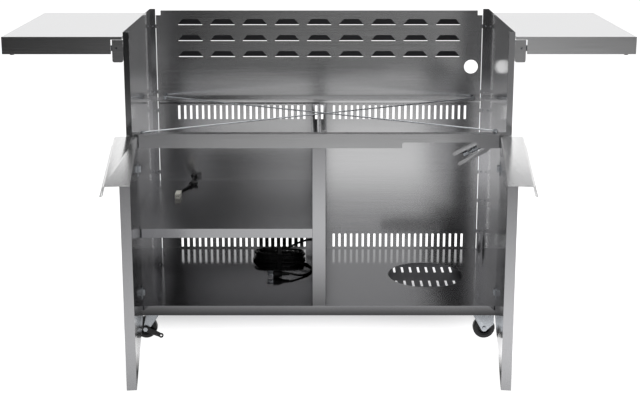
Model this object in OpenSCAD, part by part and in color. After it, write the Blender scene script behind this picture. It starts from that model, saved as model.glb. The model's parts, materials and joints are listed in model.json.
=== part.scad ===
// Grill cart: an open-topped stainless cabinet with two doors, two fold-down side shelves and four casters.
// The origin is on the ground below the middle of the front plane. +X is right, +Y is back, +Z is up.
// Doors are drawn open and side shelves raised.

/* [Cabinet] */
// Outer width across the two side panels
cab_w = 1067; // [1040:1:1110]
// Depth from the front plane to the outer face of the back panels
cab_d = 533; // [525:1:560]
// Height of the side panels
cab_h = 816; // [806:1:840]
// Thickness of the cabinet's sheet
sheet_t = 1.2; // [1:0.1:1.4]
// Width of a side panel's front return flange
front_fold_w = 16; // [15:0.5:17]
// Width of a side panel's rear return flange
rear_fold_w = 18; // [16:1:20]
// Depth of the lip that stiffens a front flange
fold_lip = 10; // [6:1:14]
// Gap between a rear flange and the back panels
back_gap = 1.5; // [1:0.1:2]
// Height of the floor's top above the bottom of the cabinet
floor_rise = 29; // [27:1:32]

/* [Rails] */
// Height of the rails' top above the bottom of the cabinet
rail_rise = 532; // [522:1:540]
// Height of the front rail's face
rail_face_h = 40; // [36:1:44]
// Depth of the front rail's ledge
front_ledge_d = 25; // [22:1:30]
// Depth of the rear rail's ledge
rear_ledge_d = 31; // [28:1:36]
// Height of the lip at a ledge's free edge
ledge_lip_h = 5; // [4:0.5:8]
// Height of the rear rail's flange against the back panel
rear_flange_h = 20; // [14:1:24]
// Length of the notch in the front rail's lower edge
notch_len = 207; // [180:1:220]
// Height of that notch
notch_h = 16; // [12:1:20]
// Distance from the cabinet's middle to the middle of that notch
notch_x = 334; // [320:1:345]
// Corner radius of that notch
notch_r = 6; // [4:1:8]

/* [Back panels] */
// Drop from the side panels' top to the upper back panel's top
back_drop = 5; // [3:1:8]
// Width and height of the notch in each top corner of the upper back panel
corner_notch = 15; // [10:1:18]
// Distance from the upper back panel's edge to the first louvre
louvre_margin = 69.6; // [60:0.1:75]
// Gap between the louvres of a row
louvre_gap = 25.6; // [22:0.1:30]
// Height of a louvre
louvre_h = 19; // [17:1:22]
// Depth of a louvre's hood
louvre_d = 8; // [6:0.5:10]
// Louvre pitch between rows
louvre_pitch_z = 50.8; // [45:0.1:52]
// Louvres in a row
louvre_cols = 9; // [5:2:9]
// Rows of louvres
louvre_rows = 3; // [1:1:3]
// Drop from the panel's top to the lower edge of the top row
louvre_drop = 45; // [38:1:48]
// Radius of the round supply hole
supply_hole_r = 22; // [15:0.5:24]
// Distance from the cabinet's middle to the supply hole
supply_hole_x = 482; // [476:1:484]
// Drop from the panel's top to the supply hole
supply_hole_drop = 179; // [170:1:190]
// Width of a vent slot
slot_w = 7; // [5:0.5:9]
// Height of a vent slot
slot_h = 44.5; // [35:0.5:48]
// Distance from the lower back panel's left edge to the middle of the first slot
slot_margin_left = 66.3; // [60:0.1:75]
// Distance from the lower back panel's right edge to the middle of the last slot
slot_margin_right = 47.3; // [42:0.1:55]
// Drop from the rails' top to the lower end of the upper slots
upper_slot_drop = 70; // [67:1:72]
// Height of the lower slots' lower end above the floor
lower_slot_rise = 5; // [3:1:10]
// Screw shank radius
screw_r = 2; // [1.5:0.1:2.5]
// Screw head radius
screw_head_r = 4; // [3:0.1:5]
// Screw head height
screw_head_h = 2.2; // [1.5:0.1:3]

/* [Floor and interior] */
// Radius of the tank hole
tank_hole_r = 114.5; // [105:0.5:116]
// Distance from the cabinet's middle to the tank hole
tank_x = 327; // [322:1:328]
// Depth of the tank hole's centre behind the front plane
tank_y = 270; // [255:1:285]
// Front edge of the pan behind the front plane
pan_front = 140; // [130:1:145]
// Rear edge of the pan behind the front plane
pan_back = 470; // [440:1:490]
// Length of a pan slot
pan_slot_len = 53; // [40:1:56]
// Pan slot pitch
pan_slot_pitch = 25.4; // [22:0.1:26]
// Width of the centre mullion
mullion_w = 37; // [34:1:42]
// Depth of the centre mullion
mullion_d = 20; // [16:1:24]
// Width of the divider's front flange
divider_front_w = 24; // [22:1:28]
// Width of the divider's rear flange
divider_rear_w = 50; // [48:1:52]
// Height of the interior shelf's top above the floor
inner_shelf_rise = 230; // [200:1:240]
// Height of the interior shelf's front lip
inner_shelf_lip = 27; // [22:1:30]

/* [Cross rods] */
// Radius of a cross rod
rod_r = 2; // [1.5:0.1:2.2]
// Radius of the eye at a rod's end
rod_eye_r = 7; // [6:0.5:8]
// Thickness of the eye
rod_eye_t = 2; // [1.5:0.1:2.5]
// Distance from a side panel's outer face to a rod's bolt
rod_bolt_in = 44; // [40:1:48]
// Radius of a rod's bolt
rod_bolt_r = 2.5; // [2:0.1:3]

/* [Doors] */
// Height of a door
door_h = 515; // [505:1:519]
// Drop from the rails' top to a door's top
door_drop = 5; // [3:1:7]
// Thickness of a door
door_t = 24.5; // [23:0.5:27]
// Gap between a closed door and the front plane
door_gap = 2; // [1.8:0.1:2.4]
// Gap from a closed door's edge to the cabinet's middle and to its side
door_edge_gap = 1.5; // [1.2:0.1:2]
// How far a door stands open
door_open = 83.6; // [60:0.1:90]
// Distance from a closed door's hinge edge to its pivot
pivot_in = 15; // [14.5:0.1:15.5]
// Distance from the closed door's inner face to its pivot
pivot_deep = 16.7; // [16:0.1:17.2]
// Radius of a hinge pin
hinge_pin_r = 2.5; // [2:0.1:3]
// Thickness of a hinge arm
hinge_arm_t = 3; // [2.5:0.1:4]
// Drop from a door's top to its upper hinge
upper_hinge_drop = 85; // [80:1:110]
// Height of the lower hinge above a door's bottom
lower_hinge_rise = 72; // [50:1:80]
// How far a door handle stands out
handle_out = 34; // [28:1:38]
// Drop of the handle's hooked edge
handle_hook = 25; // [18:1:28]
// Outward roll at the end of the hook
handle_roll = 7; // [5:1:9]
// Thickness of the handle's sheet
handle_t = 1.5; // [1.2:0.1:2]

/* [Side shelves] */
// Length of a side shelf, outwards
wing_w = 328; // [312:1:345]
// How much deeper a side shelf is than the cabinet
wing_over = 5; // [0:1:8]
// Height of a side shelf's skirt
wing_h = 48; // [46:1:52]
// Drop from the side panels' top to a side shelf's top
wing_drop = 13; // [11:1:15]
// Gap between a side panel and a side shelf
wing_gap = 3; // [2.8:0.1:3.5]
// Distance from a side panel to a side shelf's pivot
wing_pivot_out = 19; // [18.5:0.1:20]
// Depth of the side shelf's inner strip above its brackets
wing_strip = 8; // [7:0.5:9]
// Width of a shelf bracket's ear
ear_w = 29; // [26:1:31]
// Height of a shelf bracket's ear
ear_h = 62; // [55:1:66]
// Thickness of a shelf bracket
ear_t = 2.5; // [2:0.1:3]
// Radius of a shelf pivot pin
wing_pin_r = 3; // [2.5:0.1:3.5]
// Radius of a rubber bumper
bumper_r = 6; // [5:0.5:7]
// Width of the return at the bottom of a skirt
wing_return = 16; // [14:1:20]

/* [Casters] */
// Overall height of a caster
caster_h = 88; // [86:1:92]
// Radius of a wheel
wheel_r = 31.75; // [30:0.25:32]
// Width of a wheel
wheel_w = 24; // [20:1:26]
// Width of a caster plate, across the cart
plate_w = 72; // [70:1:74]
// Depth of a caster plate, front to back
plate_d = 60; // [58:1:66]
// Thickness of a caster plate
plate_t = 2.5; // [2:0.1:3]
// Distance from a side panel's outer face to a caster plate's middle
caster_in = 53.5; // [52.5:0.5:54]
// Distance from the cabinet's front or back to a caster plate's middle
caster_deep = 57; // [50:1:65]
// Offset of a swivel caster's wheel from its swivel axis
caster_trail = 23; // [18:0.5:25]
// Thickness of a caster's legs
leg_t = 2.5; // [2:0.1:3]
// Radius of an axle
axle_r = 4; // [3.5:0.1:4.5]
// Width of the channel that carries a pair of casters
channel_w = 88; // [87:0.5:89]

/* [Forked bracket] */
// Length of the forked bracket
fork_len = 156; // [140:1:162]
// Width of a prong
prong_w = 12; // [10:0.5:13]
// Gap between the prongs
prong_gap = 20; // [18:0.5:22]
// Thickness of the forked bracket
fork_t = 3; // [2:0.1:4]

/* [Cords] */
// Diameter of the mains lead
mains_d = 7; // [6:0.5:8]
// Diameter of the supply lead
supply_d = 6; // [5:0.5:7]

/* [Hidden] */
$fn = 48;

// Clearance between pieces that turn or slide on each other
run = 0.05;
// Clearance between neighbouring pieces of different bodies
clear = 0.3;

half_w = cab_w / 2;
in_w = half_w - sheet_t;
base_z = caster_h;
top_z = base_z + cab_h;
floor_z = base_z + floor_rise;
rail_z = base_z + rail_rise;
rail_bottom = rail_z - rail_face_h;
back_y = cab_d - sheet_t;
flange_y = back_y - sheet_t;
front_edge = half_w - front_fold_w;
rear_edge = half_w - rear_fold_w;
back_half = rear_edge - back_gap;
back_top = top_z - back_drop;
louvre_w = (2 * (back_half - louvre_margin) - (louvre_cols - 1) * louvre_gap) / louvre_cols;
louvre_pitch_x = louvre_w + louvre_gap;
inner_shelf_z = floor_z + inner_shelf_rise;

brushed = "#8d8d8f";
bright = "#c9ccce";
dark = "#4c4b4d";
pale = "#e8e9ea";
zinc = "#cdd2d6";
black = "#161617";

function unit(v) = v / norm(v);

// A cuboid between two opposite corners
module block(low, high) translate(low) cube(high - low);

// An outline in X and Z, pulled from y0 to y1
module wall(y0, y1) translate([0, y1, 0]) rotate([90, 0, 0]) linear_extrude(y1 - y0) children();

// An outline in Y and Z, pulled from x0 to x1
module cheek(x0, x1) translate([x0, 0, 0]) rotate([90, 0, 90]) linear_extrude(x1 - x0) children();

// An outline in X and Y, pulled from z0 to z1
module slab(z0, z1) translate([0, 0, z0]) linear_extrude(z1 - z0) children();

// A rectangle between two opposite corners
module rect(low, high) translate(low) square(high - low);

// The same thing on the other side of the cart
module other_side() mirror([1, 0, 0]) children();

// A rod from one point to another
module rod(from, to, r) {
    run_vec = to - from;
    length = norm(run_vec);
    translate(from)
        rotate([0, acos(run_vec[2] / length), atan2(run_vec[1], run_vec[0])])
            cylinder(h = length, r = r);
}

// Heights at which the back panels' tabs and screws sit on the rear flanges
upper_tab_z = [rail_z + 19, top_z - 55];
lower_tab_z = [floor_z + 58, inner_shelf_z - 68, inner_shelf_z + 28, rail_z - 42];
tab_h = 12;
tab_in = 1.5;
tab_root = back_half - 1;
screw_in = rear_fold_w / 2;

module left_side_panel() color(brushed) {
    difference() {
        union() {
            block([-half_w, 0, base_z], [-in_w, back_y, top_z]);
            block([-half_w, 0, base_z], [-front_edge, sheet_t, top_z]);
            block([-front_edge - sheet_t, 0, base_z], [-front_edge, fold_lip, floor_z - sheet_t]);
            block([-front_edge - sheet_t, 0, floor_z], [-front_edge, fold_lip, inner_shelf_z - inner_shelf_lip]);
            block([-front_edge - sheet_t, 0, inner_shelf_z], [-front_edge, fold_lip, rail_bottom]);
            block([-front_edge - sheet_t, 0, rail_z], [-front_edge, fold_lip, top_z]);
            block([-half_w, flange_y, base_z], [-rear_edge, back_y, top_z]);
        }
        for (z = concat(upper_tab_z, lower_tab_z))
            translate([-half_w + screw_in, flange_y - 1, z])
                rotate([-90, 0, 0]) cylinder(h = sheet_t + 2, r = screw_r + run);
    }
}

module right_side_panel() color(brushed) {
    difference() {
        union() {
            block([in_w, 0, base_z], [half_w, back_y, top_z]);
            block([front_edge, 0, base_z], [half_w, sheet_t, top_z]);
            block([front_edge, 0, base_z], [front_edge + sheet_t, fold_lip, floor_z - sheet_t]);
            block([front_edge, 0, floor_z], [front_edge + sheet_t, fold_lip, rail_bottom]);
            block([front_edge, 0, rail_z], [front_edge + sheet_t, fold_lip, top_z]);
            block([rear_edge, flange_y, base_z], [half_w, back_y, top_z]);
        }
        for (z = concat(upper_tab_z, lower_tab_z))
            translate([half_w - screw_in, flange_y - 1, z])
                rotate([-90, 0, 0]) cylinder(h = sheet_t + 2, r = screw_r + run);
    }
}

// Tabs that reach out behind the rear flanges, with their screw holes
module tabs(heights) {
    for (side = [-1, 1], z = heights)
        difference() {
            translate([side * (tab_root + half_w - tab_in) / 2, back_y + sheet_t / 2, z])
                cube([half_w - tab_in - tab_root, sheet_t, tab_h], center = true);
            translate([side * (half_w - screw_in), back_y - 1, z])
                rotate([-90, 0, 0]) cylinder(h = sheet_t + 2, r = screw_r + run);
        }
}

module quarter(r) intersection() {
    circle(r);
    square(r);
}

// Section of a louvre's hood: straight wall below, quarter round above
module hood_section(d, h, sunk) {
    translate([0, h - d]) quarter(d);
    square([d, h - d]);
    translate([-sunk, 0]) square([sunk, h]);
}

// Outline of a louvre seen from behind: drawn in towards the top, with a rounded shoulder
module louvre_outline(grow) {
    half = louvre_w / 2 + grow;
    polygon([
        [-half, -1], [half, -1], [half, 2], [half - 9, louvre_h - 7], [half - 12, louvre_h - 3],
        [half - 18, louvre_h + grow], [18 - half, louvre_h + grow], [12 - half, louvre_h - 3],
        [9 - half, louvre_h - 7], [-half, 2]
    ]);
}

module at_louvres() {
    for (row = [0:louvre_rows - 1], col = [0:louvre_cols - 1])
        translate([(col - (louvre_cols - 1) / 2) * louvre_pitch_x, cab_d,
                   back_top - louvre_drop - row * louvre_pitch_z])
            children();
}

module upper_back_panel() color(brushed) {
    tabs(upper_tab_z);
    difference() {
        union() {
            wall(back_y, cab_d) difference() {
                rect([-back_half, rail_z], [back_half, back_top]);
                for (side = [-1, 1])
                    translate([side * back_half, back_top]) square(2 * corner_notch, center = true);
                translate([supply_hole_x, back_top - supply_hole_drop]) circle(supply_hole_r);
            }
            block([-back_half, back_y - 8, rail_z], [back_half, back_y, rail_z + sheet_t]);
            at_louvres() intersection() {
                cheek(-louvre_w, louvre_w) hood_section(louvre_d, louvre_h, sheet_t / 2);
                wall(-sheet_t, louvre_d) louvre_outline(sheet_t);
            }
        }
        at_louvres() intersection() {
            cheek(-louvre_w, louvre_w) translate([0, -1])
                hood_section(louvre_d - sheet_t, louvre_h - sheet_t + 1, sheet_t + 1);
            wall(-sheet_t - 1, louvre_d) louvre_outline(0);
        }
    }
}

// Places of the vent slots across the cart: a group on each side and a pair in the middle
slot_places = 49;
slot_pitch = (2 * back_half - slot_margin_left - slot_margin_right) / (slot_places - 1);
slot_x = [for (k = [0:slot_places - 1]) if (k != 22 && k != 25) -back_half + slot_margin_left + k * slot_pitch];
middle_slot_x = [for (x = slot_x) if (abs(x) < slot_pitch) x];

module slot_row(places, z) for (x = places) rect([x - slot_w / 2, z], [x + slot_w / 2, z + slot_h]);

lower_back_top = rail_z - 0.6;

module lower_back_panel() color(dark) {
    tabs(lower_tab_z);
    wall(back_y, cab_d) difference() {
        rect([-back_half, base_z], [back_half, lower_back_top]);
        slot_row(slot_x, rail_z - upper_slot_drop);
        slot_row(slot_x, floor_z + lower_slot_rise);
        translate([supply_exit[0], supply_exit[2]]) circle(gland_thread_r + run);
    }
}

module rear_rail() color(bright) {
    ledge_front = flange_y - rear_ledge_d;
    difference() {
        union() {
            block([-in_w, ledge_front, rail_z - sheet_t], [in_w, flange_y, rail_z]);
            block([-back_half, flange_y - 1, rail_z - sheet_t], [back_half, back_y, rail_z]);
            block([-back_half, flange_y, rail_z - rear_flange_h], [back_half, back_y, rail_z]);
            block([-in_w, ledge_front, rail_z - ledge_lip_h], [in_w, ledge_front + sheet_t, rail_z]);
        }
        rod_bolt_holes();
    }
}

// Small ear on the front ledge's lip, right of the middle
rail_ear_x = [9, 22];
rail_ear_h = 5.5;
rail_lip_h = ledge_lip_h + 7;

module front_rail() color(brushed) {
    difference() {
        union() {
            wall(0, sheet_t) difference() {
                rect([-front_edge, rail_bottom], [front_edge, rail_z]);
                rect([notch_x - notch_len / 2, rail_bottom - 1],
                     [notch_x + notch_len / 2, rail_bottom + notch_h - notch_r]);
                rect([notch_x - notch_len / 2 + notch_r, rail_bottom - 1],
                     [notch_x + notch_len / 2 - notch_r, rail_bottom + notch_h]);
                for (side = [-1, 1])
                    translate([notch_x + side * (notch_len / 2 - notch_r), rail_bottom + notch_h - notch_r])
                        circle(notch_r);
            }
            block([-front_edge, 0, rail_z - sheet_t], [front_edge, front_ledge_d, rail_z]);
            block([-in_w, fold_lip, rail_z - sheet_t], [in_w, front_ledge_d, rail_z]);
            block([-in_w, front_ledge_d - sheet_t, rail_z - rail_lip_h], [in_w, front_ledge_d, rail_z]);
            block([rail_ear_x[0], front_ledge_d - sheet_t, rail_z],
                  [rail_ear_x[1], front_ledge_d, rail_z + rail_ear_h]);
        }
        rod_bolt_holes();
    }
}

module floor_panel() color(dark) {
    slab(floor_z - sheet_t, floor_z) difference() {
        union() {
            rect([-front_edge, 0], [front_edge, flange_y]);
            rect([-back_half, fold_lip], [back_half, back_y]);
            rect([-in_w, fold_lip], [in_w, flange_y]);
        }
        translate([tank_x, tank_y]) circle(tank_hole_r, $fn = 96);
    }
    block([-front_edge, 0, base_z], [front_edge, sheet_t, floor_z]);
}

pan_drop = floor_rise - sheet_t - 1.5;
pan_z = floor_z - sheet_t - pan_drop;
pan_slots_y = [tank_y - 6, tank_y + 122];

module tank_pan() color(bright) {
    high_x = channel_edge - clear;
    low_x = 2 * tank_x - high_x;
    slab(pan_z, pan_z + sheet_t) difference() {
        rect([low_x, pan_front], [high_x, pan_back]);
        for (k = [-3.5:3.5], y = pan_slots_y)
            translate([tank_x + k * pan_slot_pitch, y])
                square([slot_w, pan_slot_len], center = true);
    }
    block([low_x, pan_front, pan_z], [low_x + sheet_t, pan_back, pan_z + pan_drop]);
    block([high_x - sheet_t, pan_front, pan_z], [high_x, pan_back, pan_z + pan_drop]);
}

channel_edge = in_w - channel_w;

// Channel along one side, below the floor, that the casters are bolted to
module base_channel() color(brushed) {
    difference() {
        union() {
            block([channel_edge, sheet_t, base_z], [in_w, flange_y, base_z + 2]);
            block([channel_edge, sheet_t, base_z], [channel_edge + sheet_t, flange_y, floor_z - sheet_t]);
            block([in_w - sheet_t, fold_lip, base_z], [in_w, flange_y, floor_z - sheet_t]);
        }
        block([front_edge, 0, base_z - 1], [in_w + 1, fold_lip, floor_z]);
        caster_bolt_holes();
    }
}

module right_base_channel() base_channel();
module left_base_channel() other_side() base_channel();

module centre_mullion() color(brushed) {
    half = mullion_w / 2;
    block([-half, 0, floor_z], [half, sheet_t, rail_bottom]);
    for (side = [-1, 1]) {
        block([side * half - (side > 0 ? sheet_t : 0), 0, floor_z],
              [side * half + (side > 0 ? 0 : sheet_t), mullion_d, rail_bottom]);
        block([side > 0 ? 6 : -half, mullion_d - sheet_t, floor_z],
              [side > 0 ? half : -6, mullion_d, rail_bottom]);
    }
    block([-half, sheet_t, rail_bottom], [-half + sheet_t, mullion_d, rail_z - sheet_t]);
    block([half - sheet_t, sheet_t, rail_bottom], [half, mullion_d, rail_z - sheet_t]);
}

divider_top = rail_z - rear_flange_h;

module divider_panel() color(dark) {
    difference() {
        union() {
            block([-sheet_t / 2, mullion_d, floor_z], [sheet_t / 2, back_y, divider_top]);
            block([-divider_front_w / 2, mullion_d, floor_z],
                  [divider_front_w / 2, mullion_d + sheet_t, divider_top]);
            wall(flange_y, back_y) difference() {
                rect([-divider_rear_w / 2, floor_z], [divider_rear_w / 2, divider_top]);
                slot_row(middle_slot_x, rail_z - upper_slot_drop);
                slot_row(middle_slot_x, floor_z + lower_slot_rise);
            }
        }
        translate(mains_exit) rotate([0, 90, 0])
            cylinder(h = 8, r = gland_thread_r + run, center = true);
    }
}

module interior_shelf() color(dark) {
    right = -sheet_t / 2;
    union() {
        slab(inner_shelf_z - sheet_t, inner_shelf_z) difference() {
            union() {
                rect([-front_edge, 0], [-mullion_w / 2, mullion_d + sheet_t + clear]);
                rect([-in_w, fold_lip], [-mullion_w / 2, mullion_d + sheet_t + clear]);
                rect([-in_w, mullion_d + sheet_t], [right, flange_y]);
            }
            rect([-divider_front_w / 2, mullion_d - 1], [1, mullion_d + sheet_t]);
        }
        block([-front_edge, 0, inner_shelf_z - inner_shelf_lip], [-mullion_w / 2, sheet_t, inner_shelf_z]);
        block([-in_w, fold_lip, inner_shelf_z - 18], [-in_w + sheet_t, flange_y, inner_shelf_z]);
        block([right - sheet_t, mullion_d + sheet_t, inner_shelf_z - 18], [right, flange_y, inner_shelf_z]);
    }
}

// Bolts of the cross rods: on the front ledge and on the rear ledge, at both sides
rod_bolt_x = half_w - rod_bolt_in;
rod_front_y = front_ledge_d / 2 + 2;
rod_rear_y = flange_y - rear_ledge_d / 2;
rod_ends = [
    [[-rod_bolt_x, rod_front_y], [rod_bolt_x, rod_rear_y]],
    [[rod_bolt_x, rod_front_y], [-rod_bolt_x, rod_rear_y]]
];

module rod_bolt_holes() {
    for (ends = rod_ends, p = ends)
        translate([p[0], p[1], rail_z - sheet_t - 1]) cylinder(h = sheet_t + 2, r = rod_bolt_r + run);
}

// Height of a rod's middle above the ledges when its spacers have a given height
function rod_middle(spacer) = spacer + rod_eye_t / 2;
low_spacer = rod_r - rod_eye_t / 2 + clear;
high_spacer = low_spacer + 2 * rod_r + clear;
rod_spacers = [low_spacer, high_spacer];

// A rod with a flat eye at each end
module cross_rod(i) {
    ends = rod_ends[i];
    z = rail_z + rod_middle(rod_spacers[i]);
    a = concat(ends[0], z);
    b = concat(ends[1], z);
    along = unit(b - a);
    color(bright) difference() {
        union() {
            rod(a + along * (rod_eye_r - 1), b - along * (rod_eye_r - 1), rod_r);
            for (p = [a, b])
                translate(p - [0, 0, rod_eye_t / 2]) cylinder(h = rod_eye_t, r = rod_eye_r);
        }
        for (p = [a, b])
            translate(p - [0, 0, rod_eye_t]) cylinder(h = 2 * rod_eye_t, r = rod_bolt_r + run);
    }
}

module lower_cross_rod() cross_rod(0);
module upper_cross_rod() cross_rod(1);

module cross_rod_bolts() color(zinc) {
    for (i = [0, 1], p = rod_ends[i]) {
        eye_top = rail_z + rod_spacers[i] + rod_eye_t;
        under = rail_z - sheet_t;
        translate([p[0], p[1], 0]) {
            translate([0, 0, under - 4]) cylinder(h = eye_top - under + 5, r = rod_bolt_r);
            translate([0, 0, eye_top]) cylinder(h = 3, r = rod_bolt_r * 1.8, $fn = 6);
            translate([0, 0, under - 3.5]) cylinder(h = 3.5, r = rod_bolt_r * 1.8, $fn = 6);
            translate([0, 0, rail_z]) cylinder(h = rod_spacers[i], r = rod_eye_r - 1);
        }
    }
}

// The forked bracket hangs behind the front rail's right end and points down and to the left
fork_tilt = 28;
fork_root = [front_edge - 11, rail_z + 20];
fork_w = 2 * prong_w + prong_gap;
fork_y = sheet_t;
fork_throat = fork_len - 86;
// Length over which the lower prong runs out into the web's lower edge
fork_taper = 42;
fork_flange = 14;

module at_fork() translate([fork_root[0], fork_y, fork_root[1]]) rotate([0, -fork_tilt, 0]) children();

module fork_bracket() color(brushed) {
    intersection() {
        at_fork() {
            wall(0, fork_t) {
                for (z = [-fork_w, -prong_w]) {
                    rect([-fork_len + prong_w / 2, z], [-fork_throat, z + prong_w]);
                    translate([-fork_len + prong_w / 2, z + prong_w / 2]) circle(prong_w / 2);
                }
                polygon([
                    [-fork_throat, 0], [-fork_throat, -fork_w], [fork_taper - fork_throat, prong_w - fork_w],
                    [fork_w, prong_w - fork_w], [fork_w, 0]
                ]);
            }
            for (z = [-fork_w, -fork_t])
                block([-fork_len + prong_w, 0, z], [-fork_throat, fork_flange, z + fork_t]);
        }
        block([0, 0, base_z], [front_edge, cab_d, rail_z - sheet_t]);
    }
}

fork_bolt_head_r = 8;
fork_bolt_head_h = 14;
fork_bolt_len = 46;
fork_sleeve_r = 7;
fork_sleeve_len = 36;

// Bolt lying between the prongs in its sleeve, the sleeve's end against the throat
module fork_bolt() color(zinc) at_fork()
    translate([-fork_throat, fork_bolt_head_r + clear, -fork_w / 2]) rotate([0, -90, 0]) {
        cylinder(h = fork_bolt_len, r = fork_sleeve_r - 3);
        cylinder(h = fork_sleeve_len, r = fork_sleeve_r);
        translate([0, 0, fork_bolt_len]) cylinder(h = fork_bolt_head_h, r = fork_bolt_head_r, $fn = 6);
    }

// Sealed magnets behind the front rail hold the closed doors through the sheet
magnet_x = 60;
magnet_size = [40, 6, 12];
magnet_rise = 16;

module door_magnets() color(dark) {
    for (side = [-1, 1])
        translate([side * magnet_x - magnet_size[0] / 2, sheet_t, rail_bottom + magnet_rise]) cube(magnet_size);
}

module back_panel_screws() color(zinc) {
    for (side = [-1, 1], z = concat(upper_tab_z, lower_tab_z))
        translate([side * (half_w - screw_in), 0, z]) rotate([-90, 0, 0]) {
            translate([0, 0, flange_y - 4]) cylinder(h = cab_d - flange_y + 5, r = screw_r);
            translate([0, 0, cab_d]) cylinder(h = screw_head_h, r = screw_head_r);
        }
}

// Door, drawn closed in its own place, left of the middle, then turned open about its pivot
door_w = half_w - 2 * door_edge_gap;
door_left = -half_w + door_edge_gap;
door_right = -door_edge_gap;
door_top = rail_z - door_drop;
door_bottom = door_top - door_h;
// The handle's ledge lies over the door, so that the door's box ends below it
body_top = door_top - handle_t;
door_in = -door_gap;
door_out = -door_gap - door_t;
pivot = [door_left + pivot_in, door_in - pivot_deep];
hinge_z = [door_bottom + lower_hinge_rise, door_top - upper_hinge_drop];
arm_slot_h = hinge_arm_t + 3;
// The hinge edge is stepped on the inside, so that it clears the front flange while it swings
door_step = [7.5, 6.5];
arm_boss_r = 6;
arm_reach = arm_boss_r + clear;

module opened() translate(concat(pivot, 0)) rotate([0, 0, -door_open]) translate(-concat(pivot, 0)) children();

// What a hinge arm sweeps through in the door
module arm_slots() {
    for (z = hinge_z)
        block([door_left - 1, pivot[1] - arm_reach, z - arm_slot_h / 2],
              [pivot[0] + arm_reach, door_in + 1, z + arm_slot_h / 2]);
}

module door_skin() color(brushed) {
    opened() difference() {
        slab(door_bottom, body_top) difference() {
            rect([door_left, door_out], [door_right, door_in]);
            rect([door_left - 1, door_in - door_step[1]], [door_left + door_step[0], door_in + 1]);
        }
        block([door_left + sheet_t, door_out + sheet_t, door_bottom + sheet_t],
              [door_right - sheet_t, door_in + 1, body_top - sheet_t]);
        arm_slots();
    }
}

liner_d = 12;

// Outline of the liner, drawn in by a wall
module liner_outline(wall_t, open) {
    low_x = door_left + sheet_t + wall_t;
    step_x = door_left + door_step[0] + wall_t;
    high_x = door_right - sheet_t - wall_t;
    polygon([
        [low_x, door_in - liner_d - open], [high_x, door_in - liner_d - open], [high_x, door_in - wall_t],
        [step_x, door_in - wall_t], [step_x, door_in - door_step[1] - wall_t],
        [low_x, door_in - door_step[1] - wall_t]
    ]);
}

module door_liner() color(brushed) {
    opened() difference() {
        slab(door_bottom + sheet_t, body_top - sheet_t) liner_outline(0, 0);
        slab(door_bottom + 2 * sheet_t, body_top - 2 * sheet_t) liner_outline(sheet_t, 1);
        arm_slots();
    }
}

handle_side_gap = 1;
hook_bend = 6;
roll_r = handle_roll - 2;

// Handle: a ledge over the door's top and out in front, a hook that drops from it, and a roll at its end
module handle_section() {
    hook_low = handle_t - handle_hook + hook_bend;
    roll_x = handle_out + hook_bend + roll_r;
    span = 2 * (handle_roll + handle_t);
    translate([-door_t, 0]) square([door_t + handle_out, handle_t]);
    translate([handle_out, handle_t - hook_bend]) difference() {
        quarter(hook_bend);
        quarter(hook_bend - handle_t);
    }
    translate([handle_out + hook_bend - handle_t, hook_low]) square([handle_t, handle_hook - 2 * hook_bend]);
    translate([roll_x, hook_low]) difference() {
        circle(roll_r + handle_t);
        circle(roll_r);
        translate([-span / 2, 0]) square([span, span]);
        translate([0, -span / 2]) square([span, span]);
    }
    translate([roll_x - 0.2, hook_low - roll_r - handle_t]) square([2, handle_t]);
}

module door_handle() color(bright) {
    opened() difference() {
        translate([0, door_out, body_top]) mirror([0, 1, 0])
            cheek(door_left + handle_side_gap, door_right - handle_side_gap) handle_section();
        block([door_left - 1, door_in - door_step[1], body_top - 1],
              [door_left + door_step[0], door_in + 1, door_top + 1]);
    }
}

// Hinge cup in the door: two ears around the arm, a back plate, the pin, and a cover on the door's inner face
hinge_ear_t = 2;
hinge_ear_x = [-8, 26];
hinge_back = [10, 1.5];
hinge_cover = [34, 1.5];
hinge_tower = [14, 8];
hinge_half_h = 18;
pin_over = 3.5;

module door_hinges() color(zinc) {
    ear_gap = arm_slot_h / 2 - 1;
    pin_h = 2 * (ear_gap + pin_over);
    back_x = pivot[0] + hinge_back[0];
    opened() for (z = hinge_z) {
        difference() {
            union() {
                for (side = [-1, 1])
                    block([pivot[0] + hinge_ear_x[0], door_out + sheet_t,
                           z + side * (ear_gap + hinge_ear_t / 2) - hinge_ear_t / 2],
                          [pivot[0] + hinge_ear_x[1], pivot[1] + hinge_tower[1],
                           z + side * (ear_gap + hinge_ear_t / 2) + hinge_ear_t / 2]);
                block([back_x, door_out + sheet_t, z - hinge_half_h],
                      [pivot[0] + hinge_ear_x[1], door_out + sheet_t + hinge_back[1], z + hinge_half_h]);
            }
            translate([pivot[0], pivot[1], z - pin_h]) cylinder(h = 2 * pin_h, r = hinge_pin_r + run / 2);
        }
        translate([pivot[0], pivot[1], z - pin_h / 2]) cylinder(h = pin_h, r = hinge_pin_r);
        block([back_x - 1, door_in, z - hinge_half_h],
              [pivot[0] + hinge_cover[0], door_in + hinge_cover[1], z + hinge_half_h]);
        block([back_x, door_in, z - hinge_half_h / 2],
              [back_x + hinge_tower[0], door_in + hinge_tower[1], z + hinge_half_h / 2]);
    }
}

// Hinge arm: a plate on the lip of the cabinet's front flange and a tongue out to the pin
module hinge_arms() color(zinc) {
    for (z = hinge_z)
        difference() {
            union() {
                block([-front_edge, 0.5, z - hinge_half_h],
                      [-front_edge + hinge_cover[1], fold_lip, z + hinge_half_h]);
                block([-front_edge, pivot[1], z - hinge_arm_t / 2],
                      [pivot[0] + arm_boss_r - 0.5, fold_lip, z + hinge_arm_t / 2]);
                translate([pivot[0], pivot[1], z - hinge_arm_t / 2])
                    cylinder(h = hinge_arm_t, r = arm_boss_r);
            }
            translate([pivot[0], pivot[1], z - hinge_half_h])
                cylinder(h = 2 * hinge_half_h, r = hinge_pin_r + run);
        }
}

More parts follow.
